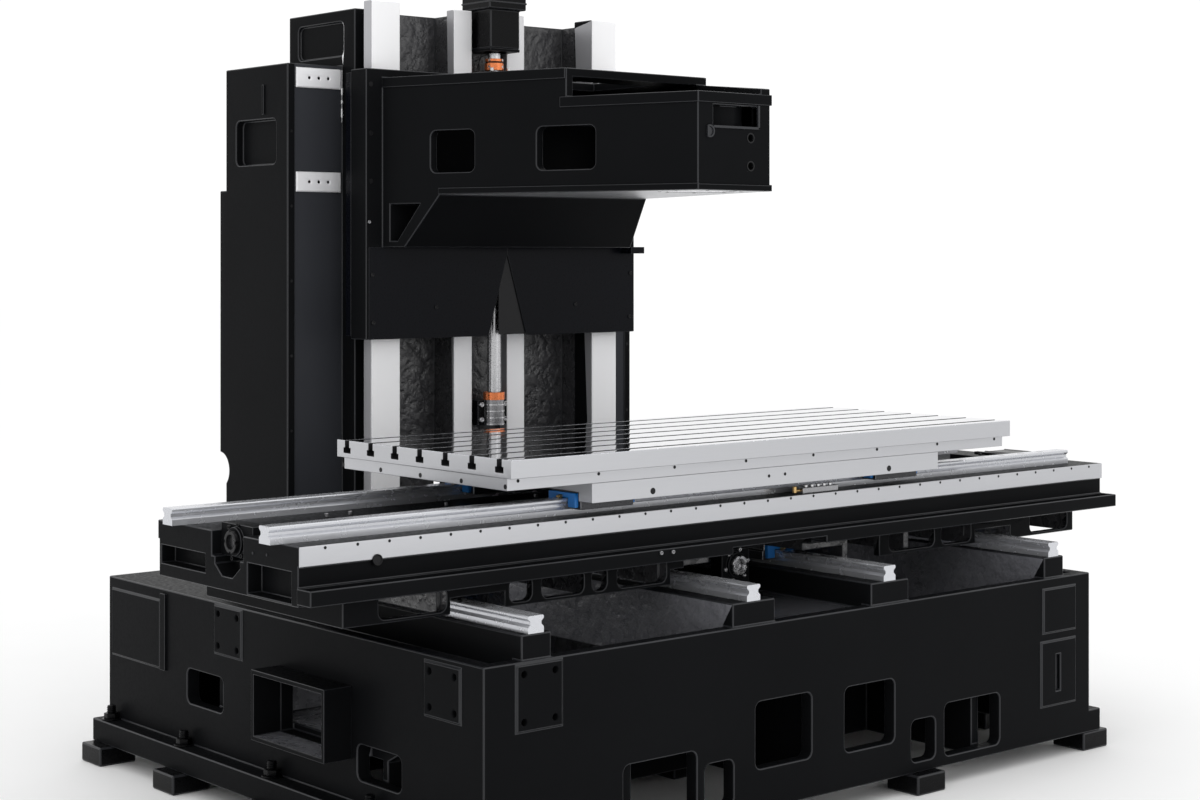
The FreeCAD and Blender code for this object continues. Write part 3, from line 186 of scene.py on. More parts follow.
# Near-white non-metal standing in for ground steel: its brightness is painted reflection.
GROUND_Z_REFLECTION = Finish("ground_along_z_painted_reflection", (0.97, 0.97, 1), spread=0.05, grain=180.0, bump=0.15,
    depth=0.0001, tint=0.04, stretch=(1.0, 1.0, 0.04))
# Darker copy of the ground ways' finish for their side faces: painted shade.
GROUND_FLANK_SHADE = Finish("ground_flank_painted_shade", (0.42, 0.42, 0.44), metallic=0.4, spread=0.05, grain=180.0,
    bump=0.15, depth=0.0001, tint=0.06, stretch=(1.0, 1.0, 0.04))
# Near-white diffuse in place of the machined pads' metal: painted reflection.
PAD_REFLECTION = Finish("pad_face", (0.88, 0.88, 0.9), metallic=0.1, grain=200.0, depth=0.0001, tint=0.03)
TABLE_IRON = Finish("polished_iron", (0.6, 0.605, 0.63), metallic=1.0, roughness=0.05, spread=0.03,
    grain=160.0, bump=0.05, depth=0.00005, tint=0.07, stretch=(0.05, 1.0, 1.0))
RAIL_STEEL = Finish("ground_rail", (0.6, 0.61, 0.64), metallic=0.7, roughness=0.26, spread=0.02,
    grain=30.0, bump=0.0, depth=0.0001, tint=0.05)
# Near-black for the T-slots' inner faces: painted shade.
SLOT_SHADE = Finish("slot_painted_shade", (0.02, 0.02, 0.022), metallic=0.3, roughness=0.5, grain=120.0,
    specular=0.2)
GUIDE_STEEL = Finish("carriage_steel", (0.045, 0.046, 0.05), metallic=0.6, roughness=0.34,
    grain=150.0)
SEAL_BLUE = Finish("seal_blue", (0.012, 0.2, 0.62), tint=0.12)
SCREW_STEEL = Finish("rolled_steel", (0.5, 0.5, 0.51), metallic=0.95, roughness=0.26, grain=260.0,
    tint=0.12)
NUT_STEEL = Finish("nut_steel", (0.3, 0.3, 0.31), metallic=0.9, roughness=0.32, bump=0.12,
    tint=0.12)
COPPER = Finish("bright_copper", (0.8, 0.24, 0.09), metallic=0.85, roughness=0.3, bump=0.12,
    tint=0.12)
BRASS = Finish("fitting_brass", (0.62, 0.42, 0.18), metallic=0.9, roughness=0.3)
# Black for black parts, and painted shade where it colours hole discs and the sheet behind the guard
# slot.
BLACK_AND_SHADE = Finish("black_parts_and_painted_shade", (0.006, 0.006, 0.007), metallic=0.3, specular=0.3)
BOLT_BRIGHT = Finish("bolt_bright", (0.6, 0.6, 0.61), metallic=0.95, roughness=0.26)
STUDIO_FLOOR = Finish("studio_floor", (0.96, 0.96, 0.96), roughness=0.8, grain=8.0, bump=0.02,
    tint=0.01, specular=0.2)


# ------------------------------------------------------------------ modelling tools
def deselect() -> None:
    """Leave object mode's selection empty."""
    if bpy.context.object and bpy.context.object.mode != "OBJECT":
        bpy.ops.object.mode_set(mode="OBJECT")
    bpy.ops.object.select_all(action="DESELECT")


def take(piece: bpy.types.Object) -> None:
    """Select one object alone and make it active.

    Args:
        piece: the object to work on.
    """
    deselect()
    piece.select_set(True)
    bpy.context.view_layer.objects.active = piece


def settle(piece: bpy.types.Object, name: str) -> bpy.types.Object:
    """Name a piece and bake its place into its mesh.

    Args:
        piece: the object to finish.
        name: its name.

    Returns:
        The same object.
    """
    take(piece)
    piece.name = name
    piece.data.name = name
    bpy.ops.object.transform_apply(location=True, rotation=True, scale=True)
    return piece


def apply_modifier(piece: bpy.types.Object, kind: str, **settings: object) -> None:
    """Add a modifier with its settings and apply it.

    Args:
        piece: the mesh object.
        kind: the modifier's type.
        settings: its properties by name.
    """
    take(piece)
    modifier = piece.modifiers.new(kind.lower(), kind)
    for key, value in settings.items():
        setattr(modifier, key, value)
    bpy.ops.object.modifier_apply(modifier=modifier.name)


def slab(name: str, low: Sequence[float], high: Sequence[float]) -> bpy.types.Object:
    """Box between two corners, as the start of a piece.

    Args:
        name: name of the piece.
        low: lowest corner.
        high: highest corner.

    Returns:
        The new object, placed in its mesh.
    """
    deselect()
    low, high = Vector(low), Vector(high)
    bpy.ops.mesh.primitive_cube_add(size=1.0, location=(low + high) / 2)
    piece = bpy.context.object
    piece.scale = high - low
    return settle(piece, name)


def bar(name: str, start: Sequence[float], end: Sequence[float], thickness: float,
        height: float) -> bpy.types.Object:
    """Level or sloping bar of rectangular section between two points of its middle line.

    Args:
        name: name of the piece.
        start: middle of its first end.
        end: middle of its other end.
        thickness: its size across, seen from above.
        height: its size up.

    Returns:
        The new object, placed in its mesh.
    """
    deselect()
    start, end = Vector(start), Vector(end)
    run = end - start
    bpy.ops.mesh.primitive_cube_add(size=1.0, location=(start + end) / 2)
    piece = bpy.context.object
    piece.scale = (thickness, run.length, height)
    piece.rotation_euler = run.to_track_quat("Y", "Z").to_euler()
    return settle(piece, name)


def turned(name: str, start: Sequence[float], end: Sequence[float], radius: float,
           sides: int = 32) -> bpy.types.Object:
    """Cylinder between two points, as the start of a round piece.

    Args:
        name: name of the piece.
        start: centre of the first end.
        end: centre of the other end.
        radius: its radius.
        sides: flats round it.

    Returns:
        The new object, placed in its mesh.
    """
    deselect()
    start, end = Vector(start), Vector(end)
    run = end - start
    bpy.ops.mesh.primitive_cylinder_add(vertices=sides, radius=radius, depth=run.length,
                                        location=(start + end) / 2)
    piece = bpy.context.object
    piece.rotation_euler = run.to_track_quat("Z", "Y").to_euler()
    return settle(piece, name)


def pick_faces(piece: bpy.types.Object, test: FaceTest) -> int:
    """Enter edit mode with only the faces that pass a test selected.

    Args:
        piece: the mesh object.
        test: takes a face's centre and normal.

    Returns:
        How many faces are selected.
    """
    take(piece)
    bpy.ops.object.mode_set(mode="EDIT")
    bpy.ops.mesh.select_mode(type="FACE")
    bpy.ops.mesh.select_all(action="DESELECT")
    bpy.ops.object.mode_set(mode="OBJECT")
    count = 0
    for face in piece.data.polygons:
        face.select = test(face.center, face.normal)
        count += face.select
    bpy.ops.object.mode_set(mode="EDIT")
    return count


def dish(piece: bpy.types.Object, axis: Sequence[float], rim: float, depth: float) -> None:
    """Sink the middle of a piece's end face, leaving a rim.

    Args:
        piece: the mesh object.
        axis: which way the end face looks.
        rim: width of the rim that stays.
        depth: how far the middle goes in.
    """
    axis = Vector(axis).normalized()
    pick_faces(piece, lambda c, n: n.dot(axis) > 0.99)
    bpy.ops.mesh.inset(thickness=rim, depth=0.0)
    bpy.ops.mesh.extrude_region_move(TRANSFORM_OT_translate={"value": -axis * depth})
    bpy.ops.object.mode_set(mode="OBJECT")


def round_edges(piece: bpy.types.Object, width: float, segments: int = 2,
                angle: float = 40.0, clamp: bool = True, material: int = -1
                ) -> bpy.types.Object:
    """Round every sharp edge with a bevel and shade the piece smooth.

    Args:
        piece: the mesh object.
        width: width of the bevel.
        segments: steps across it.
        angle: edges sharper than this, in degrees, are rounded.
        clamp: keep the bevel from overlapping itself.
        material: slot that the bevel's faces take, or -1 for their neighbours'.

    Returns:
        The same object.
    """
    apply_modifier(piece, "BEVEL", width=width, segments=segments, limit_method="ANGLE",
                   angle_limit=math.radians(angle), use_clamp_overlap=clamp,
                   loop_slide=False, material=material)
    bpy.ops.object.shade_smooth_by_angle(angle=math.radians(35))
    apply_modifier(piece, "WEIGHTED_NORMAL", keep_sharp=True)
    return piece


def cut(piece: bpy.types.Object, tools: Sequence[bpy.types.Object]) -> None:
    """Cut tools out of a piece and throw the tools away.

    Args:
        piece: the mesh object.
        tools: closed meshes to take away.
    """
    tool = fuse("cutter", tools)
    apply_modifier(piece, "BOOLEAN", operation="DIFFERENCE", object=tool, solver="EXACT")
    bpy.data.objects.remove(tool)


def coat(piece: bpy.types.Object, finish: Finish) -> bpy.types.Object:
    """Give a whole piece one finish.

    Args:
        piece: the object.
        finish: what covers it.

    Returns:
        The same object.
    """
    piece.data.materials.clear()
    piece.data.materials.append(finish.build())
    return piece


def coat_where(piece: bpy.types.Object, finish: Finish, test: FaceTest,
               edges_too: bool = True) -> None:
    """Give the faces that pass a test another finish.

    Args:
        piece: the mesh object, already coated.
        finish: the second finish.
        test: takes a face's centre and normal.
        edges_too: whether rounded edges change as well.
    """
    material = finish.build()
    if material.name not in piece.data.materials:
        piece.data.materials.append(material)
    index = piece.data.materials.find(material.name)
    edge = piece.data.materials.find(HIGHLIGHT_WEAR.name)
    for face in piece.data.polygons:
        if (edges_too or face.material_index != edge) and test(face.center, face.normal):
            face.material_index = index


def fuse(name: str, pieces: Iterable[bpy.types.Object]) -> bpy.types.Object:
    """Join several objects into one piece.

    Args:
        name: name of the joined piece.
        pieces: the objects, of which the first keeps its place.

    Returns:
        The joined object.
    """
    pieces = list(pieces)
    take(pieces[0])
    for piece in pieces[1:]:
        piece.select_set(True)
    if len(pieces) > 1:
        bpy.ops.object.join()
    joined = bpy.context.object
    joined.name = name
    joined.data.name = name
    return joined


def scattered(name: str, pattern: bpy.types.Object, places: Iterable[Sequence[float]],
              facing: Sequence[float] = (0, 0, 1)) -> bpy.types.Object:
    """Copy a pattern that stands on the origin, facing up, to many places.

    Args:
        name: name of the joined piece.
        pattern: the object to copy; it is used up.
        places: where the copies stand.
        facing: which way they look.

    Returns:
        One object with all the copies.
    """
    turn = Vector(facing).to_track_quat("Z", "Y").to_euler()
    made = []
    for place in places:
        take(pattern)
        bpy.ops.object.duplicate(linked=False)
        copy = bpy.context.object
        copy.location = Vector(place)
        copy.rotation_euler = turn
        bpy.ops.object.transform_apply(location=True, rotation=True, scale=True)
        made.append(copy)
    bpy.data.objects.remove(pattern)
    return fuse(name, made)


def body_of(node: str) -> str:
    """Name of the body that a CAD node belongs to."""
    for body, members in frame["record"]["behaviour"]["bodies"].items():
        if node in members:
            return body
    raise KeyError(node)


def dressed(node: str, finish: Finish, width: float, edge: Finish = HIGHLIGHT_WEAR,
            segments: int = 2) -> bpy.types.Object:
    """Copy of a CAD node with its edges rounded, standing for the node.

    Args:
        node: name of the CAD node.
        finish: what covers its faces.
        width: width of the rounded edges.
        edge: what covers the rounded edges; by default a lighter paint that is painted highlight and
            wear.
        segments: steps across them.

    Returns:
        The copy, riding on the node's body.
    """
    source = frame["nodes"][node]
    copy = bpy.data.objects.new(f"{node}_body", source.data.copy())
    bpy.context.scene.collection.objects.link(copy)
    coat(copy, finish)
    copy.data.materials.append(edge.build())
    take(copy)
    bpy.ops.object.mode_set(mode="EDIT")
    bpy.ops.mesh.select_all(action="SELECT")
    bpy.ops.mesh.remove_doubles(threshold=0.00001)
    bpy.ops.object.mode_set(mode="OBJECT")
    for face in copy.data.polygons:
        face.material_index = 0
    round_edges(copy, width, segments, clamp=False, material=1)
    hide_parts(node)
    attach(copy, body_of(node))
    LOG.info("%s stands for %s", copy.name, node)
    return copy


def rides(piece: bpy.types.Object, body: str) -> bpy.types.Object:
    """Make a new piece move with a body.

    Args:
        piece: the finished piece.
        body: name of the body.

    Returns:
        The same object.
    """
    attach(piece, body)
    LOG.info("%s: %d faces on %s", piece.name, len(piece.data.polygons), body)
    return piece


def fitted(name: str, pattern: bpy.types.Object, places: Iterable[Sequence[float]],
           finish: Finish, body: str, facing: Sequence[float] = (0, 0, 1)) -> None:
    """Scatter a pattern as one coated piece that moves with a body.

    Args:
        name: name of the piece.
        pattern: the object to copy; it is used up.
        places: where the copies stand.
        finish: what covers them.
        body: name of the body.
        facing: which way they look.
    """
    rides(coat(scattered(name, pattern, places, facing), finish), body)


def painted(name: str, parts: Iterable[bpy.types.Object], body: str) -> None:
    """Join parts into a painted piece whose rounded edges take a lighter paint, painted highlight
    and wear, moving with a body.

    Args:
        name: name of the piece.
        parts: its parts.
        body: name of the body.
    """
    piece = coat(fuse(name, parts), CAST_PAINT)
    piece.data.materials.append(HIGHLIGHT_WEAR.build())
    rides(round_edges(piece, 0.002, 2, material=1), body)


# ------------------------------------------------------------------ small hardware
@dataclass(frozen=True)
class CapScrew:
    """Socket-head screw that stands on the origin."""

    radius: float
    height: float

    def build(self) -> bpy.types.Object:
        """Model one screw, facing up."""
        screw = turned("cap_screw", (0, 0, 0), (0, 0, self.height), self.radius, 20)
        dish(screw, (0, 0, 1), self.radius * 0.45, self.height * 0.6)
        return round_edges(screw, self.radius * 0.12, 1)


@dataclass(frozen=True)
class HexBolt:
    """Hexagon head with its washer, standing on the origin."""

    radius: float
    height: float
    stud: float = 0.0

    def build(self) -> bpy.types.Object:
        """Model one head and washer, facing up."""
        washer = turned("washer", (0, 0, 0), (0, 0, self.height * 0.2), self.radius * 1.25, 24)
        parts = [washer]
        hexagon = turned("hexagon", (0, 0, self.height * 0.2), (0, 0, self.height),
                         self.radius, 6)
        parts.append(hexagon)
        if self.stud:
            parts.append(turned("stud", (0, 0, self.height), (0, 0, self.stud),
                                self.radius * 0.55, 16))
            for step in range(int((self.stud - self.height) / 0.006)):
                low = self.height + 0.003 + step * 0.006
                parts.append(turned("stud_thread", (0, 0, low), (0, 0, low + 0.003),
                                    self.radius * 0.62, 16))
        return round_edges(fuse("hex_bolt", parts), self.radius * 0.07, 1)


@dataclass(frozen=True)
class HoleMouth:
    """Drilled hole seen from outside: a chamfer ring round a sunken middle; coated black, the disc
    is painted shade standing in for the hole's depth.
    """

    radius: float
    depth: float = 0.0006

    def build(self) -> bpy.types.Object:
        """Model one mouth, facing up."""
        mouth = turned("hole_mouth", (0, 0, -0.002), (0, 0, self.depth), self.radius, 20)
        dish(mouth, (0, 0, 1), self.radius * 0.14, self.depth * 0.7)
        return mouth


@dataclass(frozen=True)
class Thread:
    """Rolled ball-screw thread along one axis."""

    name: str
    axis: Axis
    at: Point
    low: float
    high: float
    radius: float = 0.025
    lead: float = 0.016

    def build(self) -> bpy.types.Object:
        """Model the core and the helical land round it."""
        line = self.axis.direction
        start = Vector(self.at) + line * self.low
        end = Vector(self.at) + line * self.high
        core = turned(f"{self.name}_core", start, end, self.radius * 0.9, 32)
        deselect()
        bpy.ops.mesh.primitive_plane_add(size=1.0)
        land = bpy.context.object
        land.scale = (self.radius * 0.13, self.lead * 0.5, 1.0)
        land.rotation_euler = (math.radians(90), 0, 0)
        land.location = (self.radius * 0.93, 0, 0)
        settle(land, f"{self.name}_land")
        pick_faces(land, lambda c, n: True)
        bpy.ops.mesh.bevel(offset=self.lead * 0.06, segments=1, affect="VERTICES")
        bpy.ops.mesh.delete(type="ONLY_FACE")
        bpy.ops.object.mode_set(mode="OBJECT")
        turns = int((self.high - self.low) / self.lead) - 1
        apply_modifier(land, "SCREW", axis="Z", angle=math.tau, screw_offset=self.lead,
                       iterations=turns, steps=20, render_steps=20,
                       use_normal_calculate=True)
        land.location = start + line * self.lead * 0.5
        land.rotation_euler = line.to_track_quat("Z", "Y").to_euler()
        settle(land, f"{self.name}_land")
        pick_faces(land, lambda c, n: True)
        bpy.ops.mesh.normals_make_consistent(inside=False)
        bpy.ops.object.mode_set(mode="OBJECT")
        whole = fuse(self.name, [core, land])
        take(whole)
        bpy.ops.object.shade_smooth_by_angle(angle=math.radians(40))
        return coat(whole, SCREW_STEEL)


# ------------------------------------------------------------------ sub-assemblies
@dataclass
class Bed:
    """The open bed: casting, chip outlet, feet and their studs."""

    edge: float = 0.004
    wall: float = 0.045
    well_half: float = 1.232
    well_back: float = 0.765
    well_floor: float = 0.25
    slope_top: float = 0.5875
    pedestals: tuple[float, float] = (0.30, 1.10)
    pedestal_top: float = 0.664
    flat_top: float = 0.586
    pad_rim: float = 0.012
    side_pads: tuple[tuple[float, ...], ...] = ((0.541, 0.702, 0.442, 0.590),
                                                (-0.567, -0.405, 0.435, 0.581))
    front_pad: tuple[float, ...] = (-1.169, -1.014, 0.414, 0.590)
    ledge_top: float = 0.135
    stud_inset: float = 0.03
    stud_rows: tuple[float, ...] = (-0.600, -0.180, 0.330, 0.850, 1.330)

    def build(self) -> None:
        """Dress the bed and what stands under it."""
        self._casting()
        duct = dressed("chip_outlet", CAST_PAINT, 0.002)
        # the outlet's low upward faces take the lighter rough cast: painted light
        coat_where(duct, ROUGH_CAST_LIT, lambda c, n: n.z > 0.9 and c.z < 0.35, False)
        self._feet()

    def _casting(self) -> None:
        """Painted outside; rough-cast wells and the pedestals' flanks lightened with painted light
        and sheen; a smooth flat between the inner rails, its grey colour painted reflection.
        """
        casting = dressed("base_casting", CAST_PAINT, self.edge)
        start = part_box("base_casting")[0].y + self.wall
        inner, outer = self.pedestals
        # painted light and sheen: the wells' slopes take the lighter rough cast
        coat_where(casting, ROUGH_CAST_LIT, lambda c, n: (
            abs(c.x) < self.well_half and start < c.y < self.well_back
            and self.well_floor < c.z < self.slope_top and n.z > -0.5 and abs(n.x) < 0.9), False)
        # painted light: the pedestals' shaded side faces take the same lighter rough cast
        coat_where(casting, ROUGH_CAST_LIT, lambda c, n: (
            inner < abs(c.x) < outer and start < c.y < self.well_back
            and self.well_floor < c.z < self.pedestal_top and abs(n.x) > 0.9), False)
        # glossy flat between the inner rails; its grey base colour is painted reflection
        coat_where(casting, GLOSS_REFLECTION, lambda c, n: (
            n.z > 0.9 and abs(c.x) < inner and abs(c.z - self.flat_top) < 0.002), False)
        for pad in self.side_pads:
            coat_where(casting, CAST_PAINT, lambda c, n: (
                c.x < -1.23 and self._on_pad(c.y, c.z, pad)))
        coat_where(casting, CAST_PAINT, lambda c, n: (
            c.y < -0.62 and self._on_pad(c.x, c.z, self.front_pad)))
        painted("bed_side_rib", [slab("rib", (-1.283, 1.005, 0.340), (-1.274, 1.038, 0.585))],
                "base")

    def _on_pad(self, along: float, z: float, pad: Sequence[float]) -> bool:
        """Whether a place is on a bolt pad, within its rim.

        Args:
            along: the place along the wall.
            z: its height.
            pad: the pad's first and last place along the wall, its bottom and its top.
        """
        first, last, bottom, top = pad
        rim = self.pad_rim
        return first + rim < along < last - rim and bottom + rim < z < top - rim

    def _feet(self) -> None:
        """Foot blocks and the nuts and studs that level the bed."""
        dressed("levelling_feet", MOTOR_PAINT, 0.006, segments=3)
        low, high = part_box("levelling_bolts")
        top, inset = self.ledge_top, self.stud_inset
        places = [(x, y, top) for x in (low.x + inset, high.x - inset) for y in self.stud_rows]
        studs = scattered("levelling_studs", HexBolt(0.025, 0.022, high.z - top).build(), places)
        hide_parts("levelling_bolts")
        rides(coat(studs, MOTOR_PAINT), "base")


@dataclass
class Guides:
    """Profile rails, their plugs, and the carriages with their end seals."""

    plug_pitch: float = 0.105
    plug_margin: float = 0.06
    rail_half: float = 0.0265
    seal: float = 0.014
    seal_inset: float = 0.010
    seal_drop: float = 0.006
    seal_gap: float = 0.0012
    room_over: float = 0.01
    room_top: float = 0.0325
    nipple_drop: float = 0.018

    def build(self) -> None:
        """Dress all six rails and twelve carriages."""
        for name in list(frame["nodes"]):
            if "_rail_" in name:
                self._rail(name)
            elif "_guide_" in name:
                self._carriage(name)

    def _rail(self, name: str) -> None:
        """Ground rail with a row of plugged screw holes on top.

        Args:
            name: the rail's CAD node.
        """
        coat(frame["nodes"][name], RAIL_STEEL)
        low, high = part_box(name)
        along = 0 if name.startswith("x") else 1
        middle = (low + high) / 2
        count = int((high[along] - low[along] - self.plug_margin) / self.plug_pitch)
        first = middle[along] - self.plug_pitch * (count - 1) / 2
        places = []
        for step in range(count):
            place = Vector((middle.x, middle.y, high.z - 0.0001))
            place[along] = first + self.plug_pitch * step
            places.append(place)
        fitted(f"{name}_plugs", HoleMouth(0.0115, 0.0003).build(), places, NUT_STEEL,
               body_of(name))

    def _carriage(self, name: str) -> None:
        """Steel carriage with a blue seal at each end and a grease nipple.

        Args:
            name: the carriage's CAD node.
        """
        dressed(name, GUIDE_STEEL, 0.0015, edge=NUT_STEEL, segments=1)
        low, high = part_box(name)
        along = 0 if name.startswith("x") else 1
        across = 1 - along
        middle = (low + high) / 2
        seals, nipples = [], []
        for end, sign in ((low, -1.0), (high, 1.0)):
            a, b = low.copy(), high.copy()
            a[along], b[along] = sorted((end[along], end[along] + sign * self.seal))
            a[across] += self.seal_inset
            b[across] -= self.seal_inset
            a.z += self.seal_drop
            b.z -= self.seal_drop
            cap = slab(f"{name}_seal", a, b)
            a[along] -= self.room_over
            b[along] += self.room_over
            a[across] = middle[across] - self.rail_half - self.seal_gap
            b[across] = middle[across] + self.rail_half + self.seal_gap
            a.z -= self.room_over
            b.z = low.z + self.room_top
            cut(cap, [slab("seal_room", a, b)])
            seals.append(round_edges(cap, 0.002, 2))
            tip = Vector((middle.x, middle.y, high.z - self.nipple_drop))
            tip[along] = end[along] + sign * self.seal
            out = Axis(along).direction * sign
            nipples.append(turned("nipple", tip - out * 0.002, tip + out * 0.012, 0.0055, 6))
            nipples.append(turned("tip", tip + out * 0.012, tip + out * 0.018, 0.0032, 12))
        seals = coat(fuse(f"{name}_seals", seals), SEAL_BLUE)
        rides(seals, body_of(name))
        nipples = coat(round_edges(fuse(f"{name}_nipples", nipples), 0.0006, 1), BRASS)
        rides(nipples, body_of(name))


@dataclass
class Saddle:
    """The long cross saddle."""

    edge: float = 0.003
    front: float = -0.420
    rear: float = 0.322
    strip_low: float = 0.866
    hole_level: float = 0.9125
    hole_pitch: float = 0.100
    hole_count: int = 33
    core_half: float = 1.53
    core_top: float = 0.80
    end: float = 1.677
    deck: float = 0.920

    def build(self) -> None:
        """Dress the casting, its machined strips and its fittings."""
        casting = dressed("saddle_casting", CAST_PAINT, self.edge)
        front, rear = self.front, self.rear
        coat_where(casting, GROUND_X, lambda c, n: (
            (abs(c.y - front) < 0.0035 or abs(c.y - rear) < 0.0035) and c.z > self.strip_low))
        coat_where(casting, RAW_CAST, lambda c, n: (
            abs(c.x) < self.core_half and front + 0.03 < c.y < rear - 0.03
            and c.z < self.core_top), False)
        middle = self.hole_count // 2
        # black hole discs: painted shade of the holes
        fitted("saddle_strip_holes", HoleMouth(0.0042).build(),
               [(self.hole_pitch * (i - middle), front, self.hole_level)
                for i in range(self.hole_count)], BLACK_AND_SHADE, "saddle", AHEAD)
        plug = turned("saddle_plug", (-1.439, front - 0.004, 0.866), (-1.439, front + 0.01, 0.866),
                      0.0155, 28)
        dish(plug, AHEAD, 0.003, 0.003)
        rides(coat(round_edges(plug, 0.001, 1), BLACK_AND_SHADE), "saddle")
        self._oil_block()
        self._small_screws()

    def _oil_block(self) -> None:
        """Lubrication block behind the front strip, with its screws and its elbow."""
        low, high = self.front + 0.012, self.front + 0.036
        middle = (low + high) / 2
        block = slab("oil_block", (0.165, low, 0.920), (0.325, high, 0.938))
        rides(coat(round_edges(block, 0.002, 2), NUT_STEEL), "saddle")
        fitted("oil_block_screws", CapScrew(0.006, 0.008).build(),
               [(0.19 + 0.027 * i, middle, 0.938) for i in range(5)], BOLT_BRIGHT,
               "saddle")
        elbow = [turned("pipe", (0.165, middle, 0.930), (0.140, middle, 0.930), 0.0055, 8),
                 turned("nut", (0.140, middle, 0.924), (0.140, middle, 0.944), 0.0070, 12)]
        rides(coat(round_edges(fuse("oil_elbow", elbow), 0.0008, 1), BRASS), "saddle")

    def _small_screws(self) -> None:
        """Plugs in the lip, screws in the end faces and stops on the deck."""
        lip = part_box("saddle_casting")[0].y
        fitted("lip_plugs", CapScrew(0.006, 0.006).build(),
               [(-0.492, lip, 0.804), (-0.446, lip, 0.803)], NUT_STEEL, "saddle",
               AHEAD)
        ends = [scattered("end_screws", CapScrew(0.0036, 0.002).build(),
                          [(sign * self.end, -0.192, 0.881), (sign * self.end, -0.262, 0.884)],
                          (sign, 0, 0)) for sign in (-1, 1)]
        # the end-face screws take the lighter paint: painted highlight and wear
        rides(coat(fuse("saddle_end_screws", ends), HIGHLIGHT_WEAR), "saddle")
        fitted("saddle_top_screws", CapScrew(0.0065, 0.010).build(),
               [(x, y, self.deck) for y in (-0.185, 0.068)
                for x in (-1.28, -1.20, -0.86, -0.52, 0.9, 1.24)], NUT_STEEL, "saddle")


@dataclass
class Table:
    """The T-slotted table."""

    slot_floor: float = 1.052
    side_rim: float = 0.03
    side_inset: float = 0.008
    side_level: float = 1.0315
    side_holes: tuple[float, ...] = (0.3484, 0.1487, -0.0517, -0.2496, -0.4513)
    face: float = -0.460
    face_pitch: float = 0.290
    block_face: float = -0.457

    def build(self) -> None:
        """Dress the table and its tapped holes."""
        top = dressed("table_top", TABLE_IRON, 0.0018, edge=RAIL_STEEL)
        coat_where(top, GROUND_X, lambda c, n: c.z < 1.053 or (n.z < 0.5 and c.z < 1.1))
        coat_where(top, BLACK_AND_SHADE, lambda c, n: n.z < -0.5 and c.z < 1.0)
        low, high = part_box("table_top")
        # painted shade inside the T-slots
        coat_where(top, SLOT_SHADE, lambda c, n: (
            self.slot_floor < c.z < high.z - 0.001 and abs(n.x) < 0.5
            and low.y + self.side_rim < c.y < high.y - self.side_rim))
        # black hole discs along the sides and front: painted shade of the holes
        rows = [(0.007, (-1, 0, 0), [(low.x + self.side_inset, y, self.side_level)
                                     for y in self.side_holes]),
                (0.007, (1, 0, 0), [(high.x - self.side_inset, y, self.side_level)
                                    for y in self.side_holes]),
                (0.005, AHEAD, [(-1.002 + self.face_pitch * i, self.face, 1.046)
                                for i in range(8)]),
                (0.0095, AHEAD, [(-0.504, self.block_face, 0.982), (0.508, self.block_face, 0.981)]),
                (0.005, AHEAD, [(-0.032, self.block_face, 0.9934),
                                (0.037, self.block_face, 0.995)])]
        made = [scattered("row", HoleMouth(radius).build(), places, facing)
                for radius, facing, places in rows]
        rides(coat(fuse("table_holes", made), BLACK_AND_SHADE), "table")


